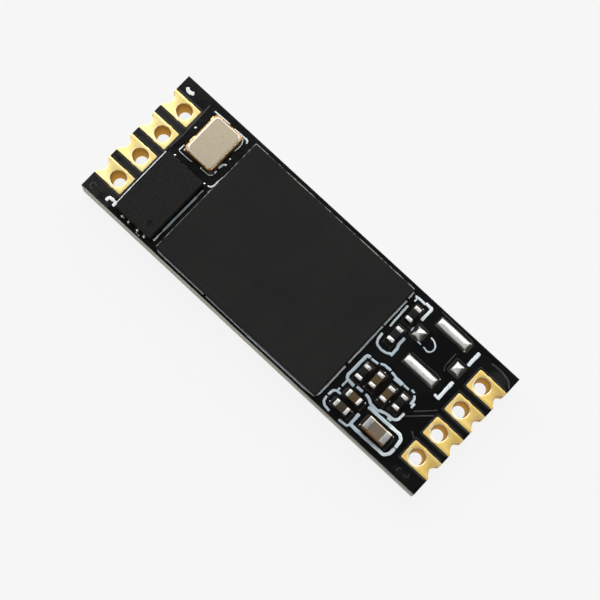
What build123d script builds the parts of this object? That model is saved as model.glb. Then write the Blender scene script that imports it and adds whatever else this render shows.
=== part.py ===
from build123d import *
import os

# A radar module: a small circuit board with plated contacts at both short ends.
# X runs along the board, Y across it, Z up from the underside of the board.
# The origin is the middle of the underside. All lengths are millimetres.

# Board layers
laminate_thickness = 1.50
mask_thickness = 0.05
copper_thickness = 0.035
plating = 0.04
mask_clearance = 0.06

# Plated contacts at the two short ends
contacts_per_end = 4
contact_pitch = 1.778
contact_width = 1.25
contact_length = 1.95
contact_corner = 0.07
hole_diameter = 0.92
hole_inset = 1.24
ring_width = 0.19
notch_radius = 0.46
notch_outset = 0.16
mouth_bevel = 0.025

# Radar package
radar_length = 12.10
radar_width = 8.14
radar_standoff = 0.05
radar_substrate_height = 0.12
radar_mould_height = 0.38
radar_edge_bevel = 0.07
radar_corner = 0.10
radar_joint_size = 0.40
radar_joint_pitch = 0.80
radar_joint_inset = 0.65
radar_lower_margin = 0.24
radar_upper_margin = 0.32

# Memory chip
chip_length = 4.28
chip_width = 2.64
chip_height = 0.60
chip_standoff = 0.04
chip_edge_bevel = 0.04
chip_contacts_per_end = 4
chip_contact_pitch = 0.56
chip_contact_width = 0.28
chip_contact_length = 0.34
chip_contact_height = 0.12
chip_joint_reach = 0.10
pin_mark_radius = 0.16
pin_mark_depth = 0.03
pin_mark_inset = 0.60
chip_lower_gap = 0.37
chip_contact_gap = 0.39
chip_radar_gap = 0.53

# Crystal
crystal_length = 2.76
crystal_width = 2.08
crystal_corner = 0.26
crystal_standoff = 0.04
crystal_base_height = 0.30
crystal_ring_height = 0.13
crystal_ring_step = 0.02
crystal_lid_height = 0.065
crystal_lid_step = 0.05
crystal_bevel_height = 0.045
crystal_bevel_width = 0.10
crystal_land_length = 0.95
crystal_land_width = 0.80
crystal_upper_gap = 0.56
crystal_chip_gap = 0.73
crystal_shift = 0.11

# Chip resistors and capacitors
small_length = 1.00
small_width = 0.50
small_end = 0.25
resistor_height = 0.35
capacitor_height = 0.50
large_length = 1.60
large_width = 0.80
large_height = 0.80
large_end = 0.38
end_plating = 0.02
part_bevel = 0.025
part_standoff = 0.02
joint_reach = 0.16
joint_climb = 0.55
right_bay = 5.64

# Unfilled connector place: two long lands and two short ones, coated with solder
long_land_length = 2.20
long_land_width = 0.60
short_land_length = 0.64
short_land_width = 0.56
solder_coat = 0.14
coat_rounding = 0.125

# Printed legend and filled vias
legend_thickness = 0.02
legend_wide = 0.18
legend_line = 0.14
legend_narrow = 0.075
legend_gap = 0.10
via_radius = 0.065
via_height = 0.02

# Heights above the underside
laminate_bottom = mask_thickness
laminate_top = laminate_bottom + laminate_thickness
land_top = laminate_top + copper_thickness
mask_top = laminate_top + mask_thickness

# The board is as long as its contacts and what stands between them, and as wide as the wider
# of its two columns of parts. Each column stands in the middle of the board's width.
left_bay = chip_contact_gap + chip_width + chip_radar_gap
board_length = 2 * contact_length + left_bay + radar_length + right_bay
chip_column = (chip_lower_gap + chip_length + crystal_chip_gap
               + crystal_length + crystal_upper_gap)
radar_column = radar_lower_margin + radar_width + radar_upper_margin
board_width = max(chip_column, radar_column)

right_edge = board_length / 2
left_edge = -right_edge
upper_edge = board_width / 2
lower_edge = -upper_edge

# Places of the large parts
radar_left = left_edge + contact_length + left_bay
radar_right = radar_left + radar_length
radar_x = (radar_left + radar_right) / 2
radar_lower = radar_lower_margin - radar_column / 2
radar_upper = radar_lower + radar_width
radar_y = (radar_lower + radar_upper) / 2
chip_x = left_edge + contact_length + chip_contact_gap + chip_width / 2
chip_y = chip_lower_gap + (chip_length - chip_column) / 2
crystal_x = chip_x + crystal_shift
crystal_y = chip_y + (chip_length + crystal_length) / 2 + crystal_chip_gap

# Chip parts: name, distance right of the radar package, distance in from a long edge,
# which edge, the direction it lies in and its kind
chip_parts = [
    ("resistor_1", 0.87, 1.40, "upper", "Y", "resistor"),
    ("resistor_2", 0.89, 2.93, "upper", "Y", "resistor"),
    ("resistor_3", 1.03, 3.02, "lower", "Y", "resistor"),
    ("resistor_4", 3.63, 3.18, "lower", "Y", "resistor"),
    ("capacitor_1", 1.87, 3.18, "lower", "Y", "capacitor"),
    ("capacitor_2", 2.82, 3.02, "lower", "Y", "capacitor"),
    ("capacitor_3", 1.61, 1.63, "lower", "X", "capacitor"),
    ("capacitor_4", 1.47, 0.78, "lower", "X", "capacitor"),
    ("capacitor_5", 3.77, 1.11, "lower", "X", "large"),
]

# Connector lands: distance right of the radar package, distance in from the upper edge, kind
connector_places = [
    (3.23, 0.63, "long"),
    (3.25, 3.40, "long"),
    (1.80, 1.92, "short"),
    (4.68, 1.92, "short"),
]

# Legend strokes beside the radar package, as shares of its right side from its upper corner down
radar_side_strokes = [(0.01, 0.07), (0.09, 0.32), (0.335, 0.675)]
radar_side_last = 0.71

# Legend strokes right of the radar package: points as distance right of the package and
# distance in from a long edge, which edge, and the line's width
right_strokes = [
    ([(0.27, 0.48), (0.98, 0.48)], "upper", legend_line),
    ([(0.40, 0.48), (0.41, 0.78)], "upper", legend_narrow),
    ([(0.98, 0.42), (1.43, 0.42), (1.43, 1.27)], "upper", legend_wide),
    ([(0.32, 1.22), (0.35, 2.73)], "upper", legend_line),
    ([(0.33, 3.33), (0.36, 3.75), (0.52, 3.99), (0.90, 4.05), (1.25, 3.97), (1.45, 3.80)],
     "upper", legend_line),
    ([(1.40, 2.70), (1.41, 3.23), (1.50, 3.40), (1.50, 3.90)], "upper", legend_wide),
    ([(1.36, 1.90), (1.36, 2.10)], "upper", legend_narrow),
    ([(2.06, 2.32), (2.27, 2.32)], "upper", legend_narrow),
    ([(5.02, 0.47), (5.02, 1.38)], "upper", legend_wide),
    ([(5.00, 2.66), (5.00, 3.85), (4.70, 3.85)], "upper", legend_wide),
    ([(0.72, 3.93), (0.53, 3.88), (0.50, 3.15), (0.53, 2.35), (0.66, 2.15), (1.12, 2.15)],
     "lower", legend_wide),
    ([(0.69, 2.15), (0.69, 1.75)], "lower", legend_line),
    ([(0.85, 3.91), (1.27, 3.99)], "lower", legend_line),
    ([(1.38, 4.05), (1.62, 4.15), (2.07, 4.15)], "lower", legend_line),
    ([(2.17, 4.13), (3.07, 4.09), (3.55, 4.09)], "lower", legend_line),
    ([(2.50, 3.97), (3.05, 3.97)], "lower", legend_wide),
    ([(3.64, 4.15), (3.83, 4.13)], "lower", legend_line),
    ([(3.98, 4.03), (4.08, 3.85), (4.13, 3.50)], "lower", legend_line),
    ([(4.25, 3.70), (4.28, 3.42)], "lower", legend_line),
    ([(4.22, 2.93), (4.20, 2.40), (3.98, 2.25), (3.40, 2.23), (3.08, 2.11)], "lower", legend_line),
    ([(1.33, 2.22), (1.70, 2.22)], "lower", legend_line),
    ([(1.97, 2.25), (2.25, 2.20), (2.47, 2.05), (3.10, 2.02)], "lower", legend_line),
    ([(2.52, 1.88), (4.85, 1.90), (5.10, 1.67), (5.12, 1.25)], "lower", legend_wide),
    ([(5.12, 1.10), (5.08, 0.80), (4.90, 0.45), (2.42, 0.45), (2.40, 1.20)], "lower", legend_wide),
    ([(2.41, 0.45), (2.38, 0.26), (1.82, 0.25)], "lower", legend_line),
    ([(3.72, 2.10), (3.92, 2.10)], "lower", legend_wide),
    ([(0.68, 1.52), (0.68, 1.30)], "lower", legend_line),
    ([(0.90, 1.30), (0.68, 1.30), (0.48, 1.15), (0.45, 0.92)], "lower", legend_line),
    ([(0.45, 0.71), (0.52, 0.40), (0.72, 0.25), (1.07, 0.23)], "lower", legend_line),
    ([(2.39, 3.35), (2.40, 3.05)], "lower", legend_narrow),
]
ring_mark_across = 2.67
ring_mark_inset = 2.05
ring_mark_radius = 0.35
ring_mark_opening = 130


def slab(length, width, bottom, height, x=0.0, y=0.0):
    """A rectangular block that stands on the height called bottom."""
    align = (Align.CENTER, Align.CENTER, Align.MIN)
    return Pos(x, y, bottom) * Box(length, width, height, align=align)


def rounded_slab(length, width, corner, bottom, height, x=0.0, y=0.0):
    """A block with rounded upright edges."""
    return Pos(x, y, bottom) * extrude(RectangleRounded(length, width, corner), height)


def edges_at(solid, height):
    """The edges that lie flat at one height."""
    return solid.edges().filter_by_position(Axis.Z, height - 1e-4, height + 1e-4)


def group(pieces):
    """Separate solids that share one node."""
    return Compound([solid for piece in pieces for solid in piece.solids()])


def contact_places():
    """End and centre of each pin hole, left end first, from the lower edge up."""
    first = -contact_pitch * (contacts_per_end - 1) / 2
    for end in (-1, 1):
        for row in range(contacts_per_end):
            yield end, end * (right_edge - hole_inset), first + row * contact_pitch


def contact_outline(end, row_y, margin):
    """One contact's land with its bulge round the hole, grown by a margin on its inner sides."""
    reach = contact_length + margin
    corner = contact_corner + margin
    across = contact_width + 2 * margin
    strip = Pos(end * right_edge, row_y) * RectangleRounded(2 * reach, across, corner)
    ring = Pos(end * (right_edge - hole_inset), row_y) * Circle(hole_diameter / 2 + ring_width + margin)
    board_side = Pos(end * (right_edge - reach / 2), row_y) * Rectangle(reach, contact_pitch)
    return (strip + ring) & board_side


def notch_circle(end, row_y, wall):
    """The half-round notch at the board's edge, with a wall left on it."""
    return Pos(end * (right_edge + notch_outset), row_y) * Circle(notch_radius + wall)


def part_size(kind):
    """Length, width, height and end-cap length of one kind of chip part."""
    if kind == "large":
        return large_length, large_width, large_height, large_end
    height = resistor_height if kind == "resistor" else capacitor_height
    return small_length, small_width, height, small_end


def right_point(across, inset, edge):
    """A point given from the radar package's right side and one long edge of the board."""
    return radar_right + across, upper_edge - inset if edge == "upper" else lower_edge + inset


def part_place(across, inset, edge, direction):
    """The location of a chip part on the board, turned along its direction."""
    x, y = right_point(across, inset, edge)
    return Pos(x, y, 0) * Rot(0, 0, 90 if direction == "Y" else 0)


def chip_contact_places():
    """End and centre line of each of the memory chip's contacts."""
    first = chip_x - chip_contact_pitch * (chip_contacts_per_end - 1) / 2
    for end in (-1, 1):
        for index in range(chip_contacts_per_end):
            yield end, first + index * chip_contact_pitch


def crystal_land_places():
    """The four lands at the corners of the crystal, flush with its outline."""
    half_x = (crystal_width - crystal_land_width) / 2
    half_y = (crystal_length - crystal_land_length) / 2
    return [(crystal_x + sx * half_x, crystal_y + sy * half_y) for sx in (-1, 1) for sy in (-1, 1)]


def radar_joint_places():
    """One ring of joints round the underside of the radar package."""
    columns = int((radar_length - 2 * radar_joint_inset) / radar_joint_pitch)
    rows = int((radar_width - 2 * radar_joint_inset) / radar_joint_pitch)
    for column in range(columns + 1):
        for row in range(rows + 1):
            if column in (0, columns) or row in (0, rows):
                x = radar_x + (column - columns / 2) * radar_joint_pitch
                y = radar_y + (row - rows / 2) * radar_joint_pitch
                yield x, y


def land_rectangles():
    """Every soldered land under a part, as location, length and width."""
    for name, across, inset, edge, direction, kind in chip_parts:
        length, width, height, end_length = part_size(kind)
        for side in (-1, 1):
            centre = side * (length / 2 + (joint_reach - end_length) / 2)
            place = part_place(across, inset, edge, direction) * Pos(centre, 0, 0)
            yield place, end_length + joint_reach, width
    for end, x in chip_contact_places():
        y = chip_y + end * (chip_length + chip_joint_reach - chip_contact_length) / 2
        yield Pos(x, y, 0), chip_contact_width, chip_contact_length + chip_joint_reach
    for x, y in crystal_land_places():
        yield Pos(x, y, 0), crystal_land_width, crystal_land_length
    for x, y in radar_joint_places():
        yield Pos(x, y, 0), radar_joint_size, radar_joint_size


def connector_rectangles():
    """The four lands of the unfilled connector place, as location, length and width."""
    for across, inset, kind in connector_places:
        x, y = right_point(across, inset, "upper")
        if kind == "long":
            yield Pos(x, y, 0), long_land_length, long_land_width
        else:
            yield Pos(x, y, 0), short_land_width, short_land_length


def make_laminate():
    """The glass-epoxy core, drilled for the barrels and notched at both ends."""
    outline = Rectangle(board_length, board_width)
    for end, x, y in contact_places():
        outline -= Pos(x, y) * Circle(hole_diameter / 2 + plating)
        outline -= notch_circle(end, y, plating)
    return Pos(0, 0, laminate_bottom) * extrude(outline, laminate_thickness)


def make_mask(bottom, land_list):
    """One film of solder mask, open round the contacts and over the lands in the list."""
    outline = Rectangle(board_length, board_width)
    for end, x, y in contact_places():
        outline -= contact_outline(end, y, mask_clearance)
    grow = 2 * mask_clearance
    for place, length, width in land_list:
        outline -= place * Rectangle(length + grow, width + grow)
    return Pos(0, 0, bottom) * extrude(outline, mask_thickness)


def make_lands(rectangles):
    """Copper lands on the upper face of the laminate."""
    return group(place * slab(length, width, laminate_top, copper_thickness)
                 for place, length, width in rectangles)


def make_contact(end, x, y):
    """One plated contact: two lands joined by the pin-hole barrel and the notch wall."""
    hole = Pos(x, y) * Circle(hole_diameter / 2)
    land = contact_outline(end, y, 0.0) - hole - notch_circle(end, y, 0.0)
    barrel = Pos(x, y) * Circle(hole_diameter / 2 + plating) - hole
    board_side = Pos(end * right_edge / 2, y) * Rectangle(right_edge, contact_pitch)
    wall = (notch_circle(end, y, plating) - notch_circle(end, y, 0.0)) & board_side
    low = laminate_bottom - copper_thickness
    contact = Pos(0, 0, laminate_top) * extrude(land, copper_thickness)
    contact += Pos(0, 0, low) * extrude(land, copper_thickness)
    contact += Pos(0, 0, laminate_bottom) * extrude(barrel, laminate_thickness)
    contact += Pos(0, 0, laminate_bottom) * extrude(wall, laminate_thickness)
    mouths = edges_at(contact, land_top) + edges_at(contact, low)
    rims = [edge for edge in mouths.filter_by(GeomType.CIRCLE)
            if abs(edge.radius - hole_diameter / 2) < ring_width / 2
            and abs(edge.arc_center.X - x) < ring_width / 2]
    return chamfer(rims, mouth_bevel)


def make_radar_substrate():
    """The thin laminate base of the radar package."""
    return rounded_slab(radar_length, radar_width, radar_corner, land_top + radar_standoff,
                        radar_substrate_height, radar_x, radar_y)


def make_radar_mould():
    """The flat moulding over the radar package's base, with a bevelled upper edge."""
    bottom = land_top + radar_standoff + radar_substrate_height
    body = rounded_slab(radar_length, radar_width, radar_corner, bottom,
                        radar_mould_height, radar_x, radar_y)
    return chamfer(edges_at(body, bottom + radar_mould_height), radar_edge_bevel)


def make_radar_joints():
    """Solder joints between the board's lands and the radar package."""
    return group(slab(radar_joint_size, radar_joint_size, land_top, radar_standoff, x, y)
                 for x, y in radar_joint_places())


def make_chip_contacts():
    """The eight flat contacts let into the memory chip's underside."""
    pieces = []
    for end, x in chip_contact_places():
        y = chip_y + end * (chip_length - chip_contact_length) / 2
        pieces.append(slab(chip_contact_width, chip_contact_length, land_top + chip_standoff,
                           chip_contact_height, x, y))
    return group(pieces)


def make_chip_body():
    """The memory chip's moulding, with a shallow dimple that marks its first contact."""
    bottom = land_top + chip_standoff
    top = bottom + chip_height
    body = slab(chip_width, chip_length, bottom, chip_height, chip_x, chip_y)
    body = chamfer(edges_at(body, top), chip_edge_bevel)
    mark_x = chip_x + chip_width / 2 - pin_mark_inset
    mark_y = chip_y - chip_length / 2 + pin_mark_inset
    mark = Pos(mark_x, mark_y, top - pin_mark_depth)
    dimple = mark * extrude(Circle(pin_mark_radius), pin_mark_depth)
    return body - dimple - make_chip_contacts().solids()


def make_crystal():
    """The crystal's ceramic base, seal ring and bevelled lid, stacked face to face."""
    base_bottom = land_top + crystal_standoff
    ring_bottom = base_bottom + crystal_base_height
    lid_bottom = ring_bottom + crystal_ring_height
    bevel_bottom = lid_bottom + crystal_lid_height
    ring_step = 2 * crystal_ring_step
    lid_step = 2 * crystal_lid_step
    base = rounded_slab(crystal_width, crystal_length, crystal_corner, base_bottom,
                        crystal_base_height, crystal_x, crystal_y)
    ring = rounded_slab(crystal_width - ring_step, crystal_length - ring_step,
                        crystal_corner - crystal_ring_step, ring_bottom,
                        crystal_ring_height, crystal_x, crystal_y)
    lid_width = crystal_width - lid_step
    lid_length = crystal_length - lid_step
    lid_corner = crystal_corner - crystal_lid_step
    rim = Pos(crystal_x, crystal_y, bevel_bottom) * RectangleRounded(lid_width, lid_length, lid_corner)
    crown = Pos(crystal_x, crystal_y, bevel_bottom + crystal_bevel_height) * RectangleRounded(
        lid_width - 2 * crystal_bevel_width, lid_length - 2 * crystal_bevel_width,
        lid_corner - crystal_bevel_width)
    lid = rounded_slab(lid_width, lid_length, lid_corner, lid_bottom,
                       crystal_lid_height, crystal_x, crystal_y)
    lid += loft([rim, crown])
    return base, ring, lid


def make_crystal_joints():
    """Flat solder joints under the crystal's four corners."""
    return group(slab(crystal_land_width, crystal_land_length, land_top, crystal_standoff, x, y)
                 for x, y in crystal_land_places())


def make_part(kind, place):
    """One chip part: a bevelled body and a plated cap over each of its two ends."""
    length, width, height, end_length = part_size(kind)
    bottom = land_top + part_standoff
    thinner = 2 * end_plating
    outer = slab(length, width, bottom, height)
    outer = chamfer(outer.edges(), part_bevel)
    core = slab(length - thinner, width - thinner, bottom + end_plating, height - thinner)
    core = chamfer(core.edges(), part_bevel)
    caps = []
    for side in (-1, 1):
        end_block = slab(end_length, width, bottom, height, side * (length - end_length) / 2)
        caps.append(place * ((outer & end_block) - core))
    return place * core, group(caps)


def make_joint(place, inner, end_face, reach, width, bed_height, climb):
    """A solder joint: a thin bed from inner to the end face, and a hollow fillet beyond it."""
    outer = end_face + reach
    bed = land_top + bed_height
    crest = bed + climb
    hollow = (end_face + 0.3 * reach, land_top + 0.4 * (crest - land_top))
    profile = make_face([
        Polyline((end_face, crest), (end_face, bed), (inner, bed), (inner, land_top), (outer, land_top)),
        ThreePointArc((outer, land_top), hollow, (end_face, crest)),
    ])
    return place * extrude(Plane.XZ * profile, width / 2, both=True)


def make_part_joints(kind, place):
    """The two solder joints of one chip part."""
    length, width, height, end_length = part_size(kind)
    return [make_joint(place * Rot(0, 0, turn), length / 2 - end_length, length / 2, joint_reach, width,
                       part_standoff, joint_climb * height) for turn in (0, 180)]


def make_chip_joints():
    """The solder joints at the memory chip's eight contacts."""
    pieces = []
    for end, x in chip_contact_places():
        place = Pos(x, chip_y, 0) * Rot(0, 0, 90 * end)
        pieces.append(make_joint(place, chip_length / 2 - chip_contact_length, chip_length / 2,
                                 chip_joint_reach, chip_contact_width, chip_standoff, chip_contact_height))
    return group(pieces)


def make_solder_coats():
    """Pillows of solder over the connector lands."""
    pieces = []
    for place, length, width in connector_rectangles():
        block = slab(length, width, land_top, solder_coat)
        block = fillet(block.edges().filter_by(Axis.Z), coat_rounding)
        pieces.append(place * fillet(edges_at(block, land_top + solder_coat), coat_rounding))
    return group(pieces)


def make_vias():
    """Low caps of filled vias beside the crystal and the memory chip."""
    chip_top = chip_y + chip_length / 2
    crystal_low = crystal_y - crystal_length / 2
    crystal_side = crystal_width / 2
    places = [
        (crystal_x - crystal_side - 0.38, crystal_y),
        (crystal_x + crystal_side + 0.18, crystal_y),
        (crystal_x + 0.44, crystal_low - 0.09),
        (chip_x - 1.05, chip_top + 0.17),
        (chip_x + 1.28, chip_top + 0.12),
    ]
    return group(Pos(x, y, mask_top) * extrude(Circle(via_radius), via_height) for x, y in places)


def stroke(points, width):
    """The outline of a printed line of even width through a few points."""
    return trace(Polyline(*points) if len(points) > 2 else Line(*points), width)


def print_on_mask(outlines):
    """Printed ink: the outlines joined where they meet and raised off the mask."""
    joined = outlines[0]
    for outline in outlines[1:]:
        joined += outline
    return group([Pos(0, 0, mask_top) * extrude(joined, legend_thickness)])


def left_legend():
    """Lines round the crystal and the memory chip, and the marks near the board's left corners."""
    side = crystal_x - crystal_width / 2 - legend_gap
    other = crystal_x + crystal_width / 2 + legend_gap
    low = crystal_y - crystal_length / 2 - 2 * legend_gap
    high = crystal_y + crystal_length / 2 + legend_gap
    chip_side = chip_x - chip_width / 2 - 0.24
    chip_other = chip_x + chip_width / 2 + 0.19
    chip_low = chip_y - chip_length / 2
    chip_high = chip_y + chip_length / 2
    hook_x = left_edge + 0.71
    hook_y = upper_edge - 0.61
    arch_x = left_edge + 1.86
    arch_y = lower_edge + 0.43
    return print_on_mask([
        stroke([(side, high - 0.09), (side, high), (side + 1.03, high)], legend_narrow),
        stroke([(other - 0.91, high), (other + 0.18, high), (other + 0.18, high - 0.18)], legend_narrow),
        stroke([(side, low + 0.60), (side, low), (side + 0.95, low)], legend_narrow),
        stroke([(side, low + 1.20), (side, low + 0.75)], legend_narrow),
        stroke([(other - 0.05, high - 0.22), (other + 0.01, high - 0.50), (other, high - 0.93)],
               legend_narrow),
        stroke([(other + 0.16, low + 1.19), (other + 0.03, low + 1.19), (other + 0.02, low + 0.76)],
               legend_narrow),
        stroke([(other + 0.06, low + 0.54), (other + 0.06, low + 0.28)], legend_narrow),
        stroke([(chip_side, chip_low + 0.30), (chip_side, chip_high - 0.02)], legend_narrow),
        stroke([(chip_other, chip_high - 0.82), (chip_other, chip_high - 0.21)], legend_line),
        stroke([(chip_other, chip_low + 0.02), (chip_other, chip_high - 0.82)], legend_wide),
        stroke([(hook_x - 0.23, hook_y + 0.13), (hook_x - 0.17, hook_y - 0.07),
                (hook_x + 0.12, hook_y - 0.07), (hook_x + 0.22, hook_y + 0.13)], legend_line),
        stroke([(arch_x - 0.24, arch_y - 0.21), (arch_x - 0.24, arch_y + 0.13),
                (arch_x + 0.23, arch_y + 0.13), (arch_x + 0.23, arch_y - 0.17)], legend_wide),
    ])


def radar_legend():
    """Broken outline along the radar package's right and lower sides."""
    side = radar_right + 0.10
    low = radar_lower - 0.05
    outlines = []
    for start, end in radar_side_strokes:
        outlines.append(stroke([(side, radar_upper - start * radar_width),
                                (side, radar_upper - end * radar_width)], legend_line))
    return print_on_mask(outlines + [
        stroke([(side, radar_upper - radar_side_last * radar_width), (side, low + 0.16),
                (side - 0.16, low), (radar_x, low)], legend_line),
        stroke([(radar_x, low), (radar_left + 0.22, low), (radar_left + 0.09, low + 0.13)], legend_narrow),
        stroke([(radar_left - 0.30, radar_y + 0.46), (radar_left - 0.09, radar_y + 0.46),
                (radar_left - 0.09, radar_y + 1.02)], legend_narrow),
    ])


def right_legend():
    """Broken outlines round the chip parts and the marks of the connector place."""
    outlines = []
    for points, edge, width in right_strokes:
        outlines.append(stroke([right_point(across, inset, edge) for across, inset in points], width))
    centre = right_point(ring_mark_across, ring_mark_inset, "upper")
    ring = CenterArc(centre, ring_mark_radius, ring_mark_opening / 2 - 180, 360 - ring_mark_opening)
    outlines.append(trace(ring, legend_narrow))
    return print_on_mask(outlines)


parts = {}
parts["glass_epoxy_board"] = make_laminate()
parts["solder_mask_bottom"] = make_mask(0.0, [])
parts["solder_mask_top"] = make_mask(laminate_top, list(land_rectangles()) + list(connector_rectangles()))
for number, (end, x, y) in enumerate(contact_places(), start=1):
    parts[f"edge_contact_{number}"] = make_contact(end, x, y)
parts["component_lands"] = make_lands(land_rectangles())
parts["connector_lands"] = make_lands(connector_rectangles())
parts["connector_solder_coats"] = make_solder_coats()
parts["filled_vias"] = make_vias()

parts["radar_substrate"] = make_radar_substrate()
parts["radar_mould"] = make_radar_mould()
parts["radar_solder_joints"] = make_radar_joints()

parts["memory_chip_body"] = make_chip_body()
parts["memory_chip_contacts"] = make_chip_contacts()
parts["memory_chip_solder"] = make_chip_joints()

parts["crystal_base"], parts["crystal_seal_ring"], parts["crystal_lid"] = make_crystal()
parts["crystal_solder"] = make_crystal_joints()

part_joints = []
for name, across, inset, edge, direction, kind in chip_parts:
    place = part_place(across, inset, edge, direction)
    parts[f"{name}_body"], parts[f"{name}_end_caps"] = make_part(kind, place)
    part_joints += make_part_joints(kind, place)
parts["chip_part_solder"] = group(part_joints)

parts["legend_left"] = left_legend()
parts["legend_radar"] = radar_legend()
parts["legend_right"] = right_legend()

os.makedirs("parts", exist_ok=True)
for name, solid in parts.items():
    export_step(solid, f"parts/{name}.step")
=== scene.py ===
import math
import bpy
import bmesh
from mathutils import Vector, Matrix, noise
from mathutils.geometry import tessellate_polygon


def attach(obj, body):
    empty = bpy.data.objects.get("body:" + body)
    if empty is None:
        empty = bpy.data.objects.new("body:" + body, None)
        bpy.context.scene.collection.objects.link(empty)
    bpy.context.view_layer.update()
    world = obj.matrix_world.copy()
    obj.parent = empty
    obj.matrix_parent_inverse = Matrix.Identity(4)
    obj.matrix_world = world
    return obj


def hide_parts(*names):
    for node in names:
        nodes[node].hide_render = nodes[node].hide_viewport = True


# A radar module lying on a pale table. Lengths are millimetres until a mesh is made.
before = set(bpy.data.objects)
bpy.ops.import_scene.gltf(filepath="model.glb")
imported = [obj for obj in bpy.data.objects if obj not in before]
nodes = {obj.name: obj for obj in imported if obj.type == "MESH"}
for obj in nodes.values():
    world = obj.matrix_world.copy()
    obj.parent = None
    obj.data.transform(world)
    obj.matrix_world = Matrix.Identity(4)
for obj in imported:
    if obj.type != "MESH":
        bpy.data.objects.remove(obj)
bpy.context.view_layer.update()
mm = 0.001
noise.seed_set(7)  # else the uneven shifts would be drawn anew in each run
print("frame loaded,", len(nodes), "nodes")

cameraView = {
    "place": (9.604, -14.964, 98.001),
    "right": (0.73046, 0.68214, 0.03346),
    "forward": (-0.09070, 0.14545, -0.98520),
    "lens": 105.92,
    "sensorWidth": 36,
    "clip": (0.005, 20),  # in metres
}


def makeCamera(view):
    data = bpy.data.cameras.new("photoCamera")
    data.lens = view["lens"]
    data.sensor_width = view["sensorWidth"]
    data.clip_start, data.clip_end = view["clip"]
    camera = bpy.data.objects.new("photoCamera", data)
    bpy.context.scene.collection.objects.link(camera)
    right = Vector(view["right"]).normalized()
    back = -Vector(view["forward"]).normalized()
    up = back.cross(right).normalized()
    right = up.cross(back)
    turn = Matrix((right, up, back)).transposed()
    camera.matrix_world = Matrix.Translation(Vector(view["place"]) * mm) @ turn.to_4x4()
    bpy.context.scene.camera = camera


makeCamera(cameraView)
print("camera ready")


class Value:
    # an output socket that can be used in plain sums
    def __init__(self, finish, socket):
        self.finish = finish
        self.socket = socket

    def maths(self, operation, *terms):
        return self.finish.add("ShaderNodeMath", {"operation": operation}, dict(enumerate(terms)))

    def __add__(self, other):
        return self.maths("ADD", self, other)

    def __radd__(self, other):
        return self.maths("ADD", other, self)

    def __sub__(self, other):
        return self.maths("SUBTRACT", self, other)

    def __rsub__(self, other):
        return self.maths("SUBTRACT", other, self)

    def __mul__(self, other):
        return self.maths("MULTIPLY", self, other)

    def __rmul__(self, other):
        return self.maths("MULTIPLY", other, self)

    def __truediv__(self, other):
        return self.maths("DIVIDE", self, other)

    def __rtruediv__(self, other):
        return self.maths("DIVIDE", other, self)

    def __pow__(self, other):
        return self.maths("POWER", self, other)

    def __rpow__(self, other):
        return self.maths("POWER", other, self)

    def above(self, edge):
        return self.maths("GREATER_THAN", self, edge)

    def below(self, edge):
        return self.maths("LESS_THAN", self, edge)

    def most(self, other):
        return self.maths("MAXIMUM", self, other)

    def size(self):
        return self.maths("ABSOLUTE", self)

    def side(self):
        return self.maths("SIGN", self)

    def cycle(self, length):
        return self.maths("FLOORED_MODULO", self, length)

    def swing(self, length):
        # a sine that comes round once in each length
        return self.maths("SINE", self * (2 * math.pi / length))

    def layers(self, length):
        # from 0 to 1 and back once in each length
        return self.swing(length) * 0.5 + 0.5

    def span(self, low, high):
        # low where this is 0, high where it is 1
        return self * (high - low) + low

    def ease(self, low, high):
        # 0 on low's side, 1 on high's side and smooth between
        return self.finish.add(
            "ShaderNodeMapRange",
            {"interpolation_type": "SMOOTHSTEP"},
            {"Value": self, "From Min": low, "From Max": high},
        )


class Finish:
    # a material with its node tree; places are read in millimetres
    def __init__(self, name):
        self.material = bpy.data.materials.new(name)
        self.material.use_nodes = True
        self.tree = self.material.node_tree
        self.shader = self.tree.nodes["Principled BSDF"]
        spot = self.add("ShaderNodeTexCoord", out="Object")
        self.place = self.add("ShaderNodeVectorMath", {"operation": "SCALE"}, {0: spot, "Scale": 1 / mm})

    def add(self, kind, settings=None, sockets=None, out=0):
        node = self.tree.nodes.new(kind)
        for name, value in (settings or {}).items():
            setattr(node, name, value)
        for name, value in (sockets or {}).items():
            self.feed(node.inputs[name], value)
        return Value(self, node.outputs[out])

    def feed(self, socket, value):
        if isinstance(value, Value):
            self.tree.links.new(value.socket, socket)
        else:
            socket.default_value = value

    def set(self, **inputs):
        for name, value in inputs.items():
            label = "".join(" " + c if c.isupper() else c for c in name).title()
            self.feed(self.shader.inputs[label.replace(" Ior", " IOR")], value)

    def axes(self):
        # X, Y and Z of the place as three values
        parts = self.add("ShaderNodeSeparateXYZ", None, {0: self.place}).socket.node
        return [Value(self, parts.outputs[i]) for i in range(3)]

    def levelness(self):
        # 1 on a level top, 0 on an upright wall
        facing = self.add("ShaderNodeTexCoord", out="Normal")
        return self.add("ShaderNodeSeparateXYZ", None, {0: facing}, "Z")

    def grain(self, scale, detail=2.0, rough=0.5, stretch=None):
        spot = self.place
        if stretch:
            spot = self.add("ShaderNodeVectorMath", {"operation": "MULTIPLY"}, {0: spot, 1: stretch})
        return self.add(
            "ShaderNodeTexNoise", None,
            {"Vector": spot, "Scale": scale, "Detail": detail, "Roughness": rough},
        )

    def cells(self, scale):
        return self.add("ShaderNodeTexVoronoi", None, {"Vector": self.place, "Scale": scale})

    def blend(self, share, first, second):
        # colour between two colours: inputs 6 and 7 and output 2 are the node's coloured ones
        return self.add("ShaderNodeMix", {"data_type": "RGBA"}, {0: share, 6: first, 7: second}, 2)

    def dulled(self, look):
        # the look's roughness with its uneven part
        return look["roughness"] + self.grain(*look["dulling"]) * look["dullShare"]

    def relief(self, height, depth):
        # depth is how far a height of 1 stands up, in millimetres
        bump = self.add("ShaderNodeBump", None, {"Height": height, "Distance": depth * mm})
        self.feed(self.shader.inputs["Normal"], bump)


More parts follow.
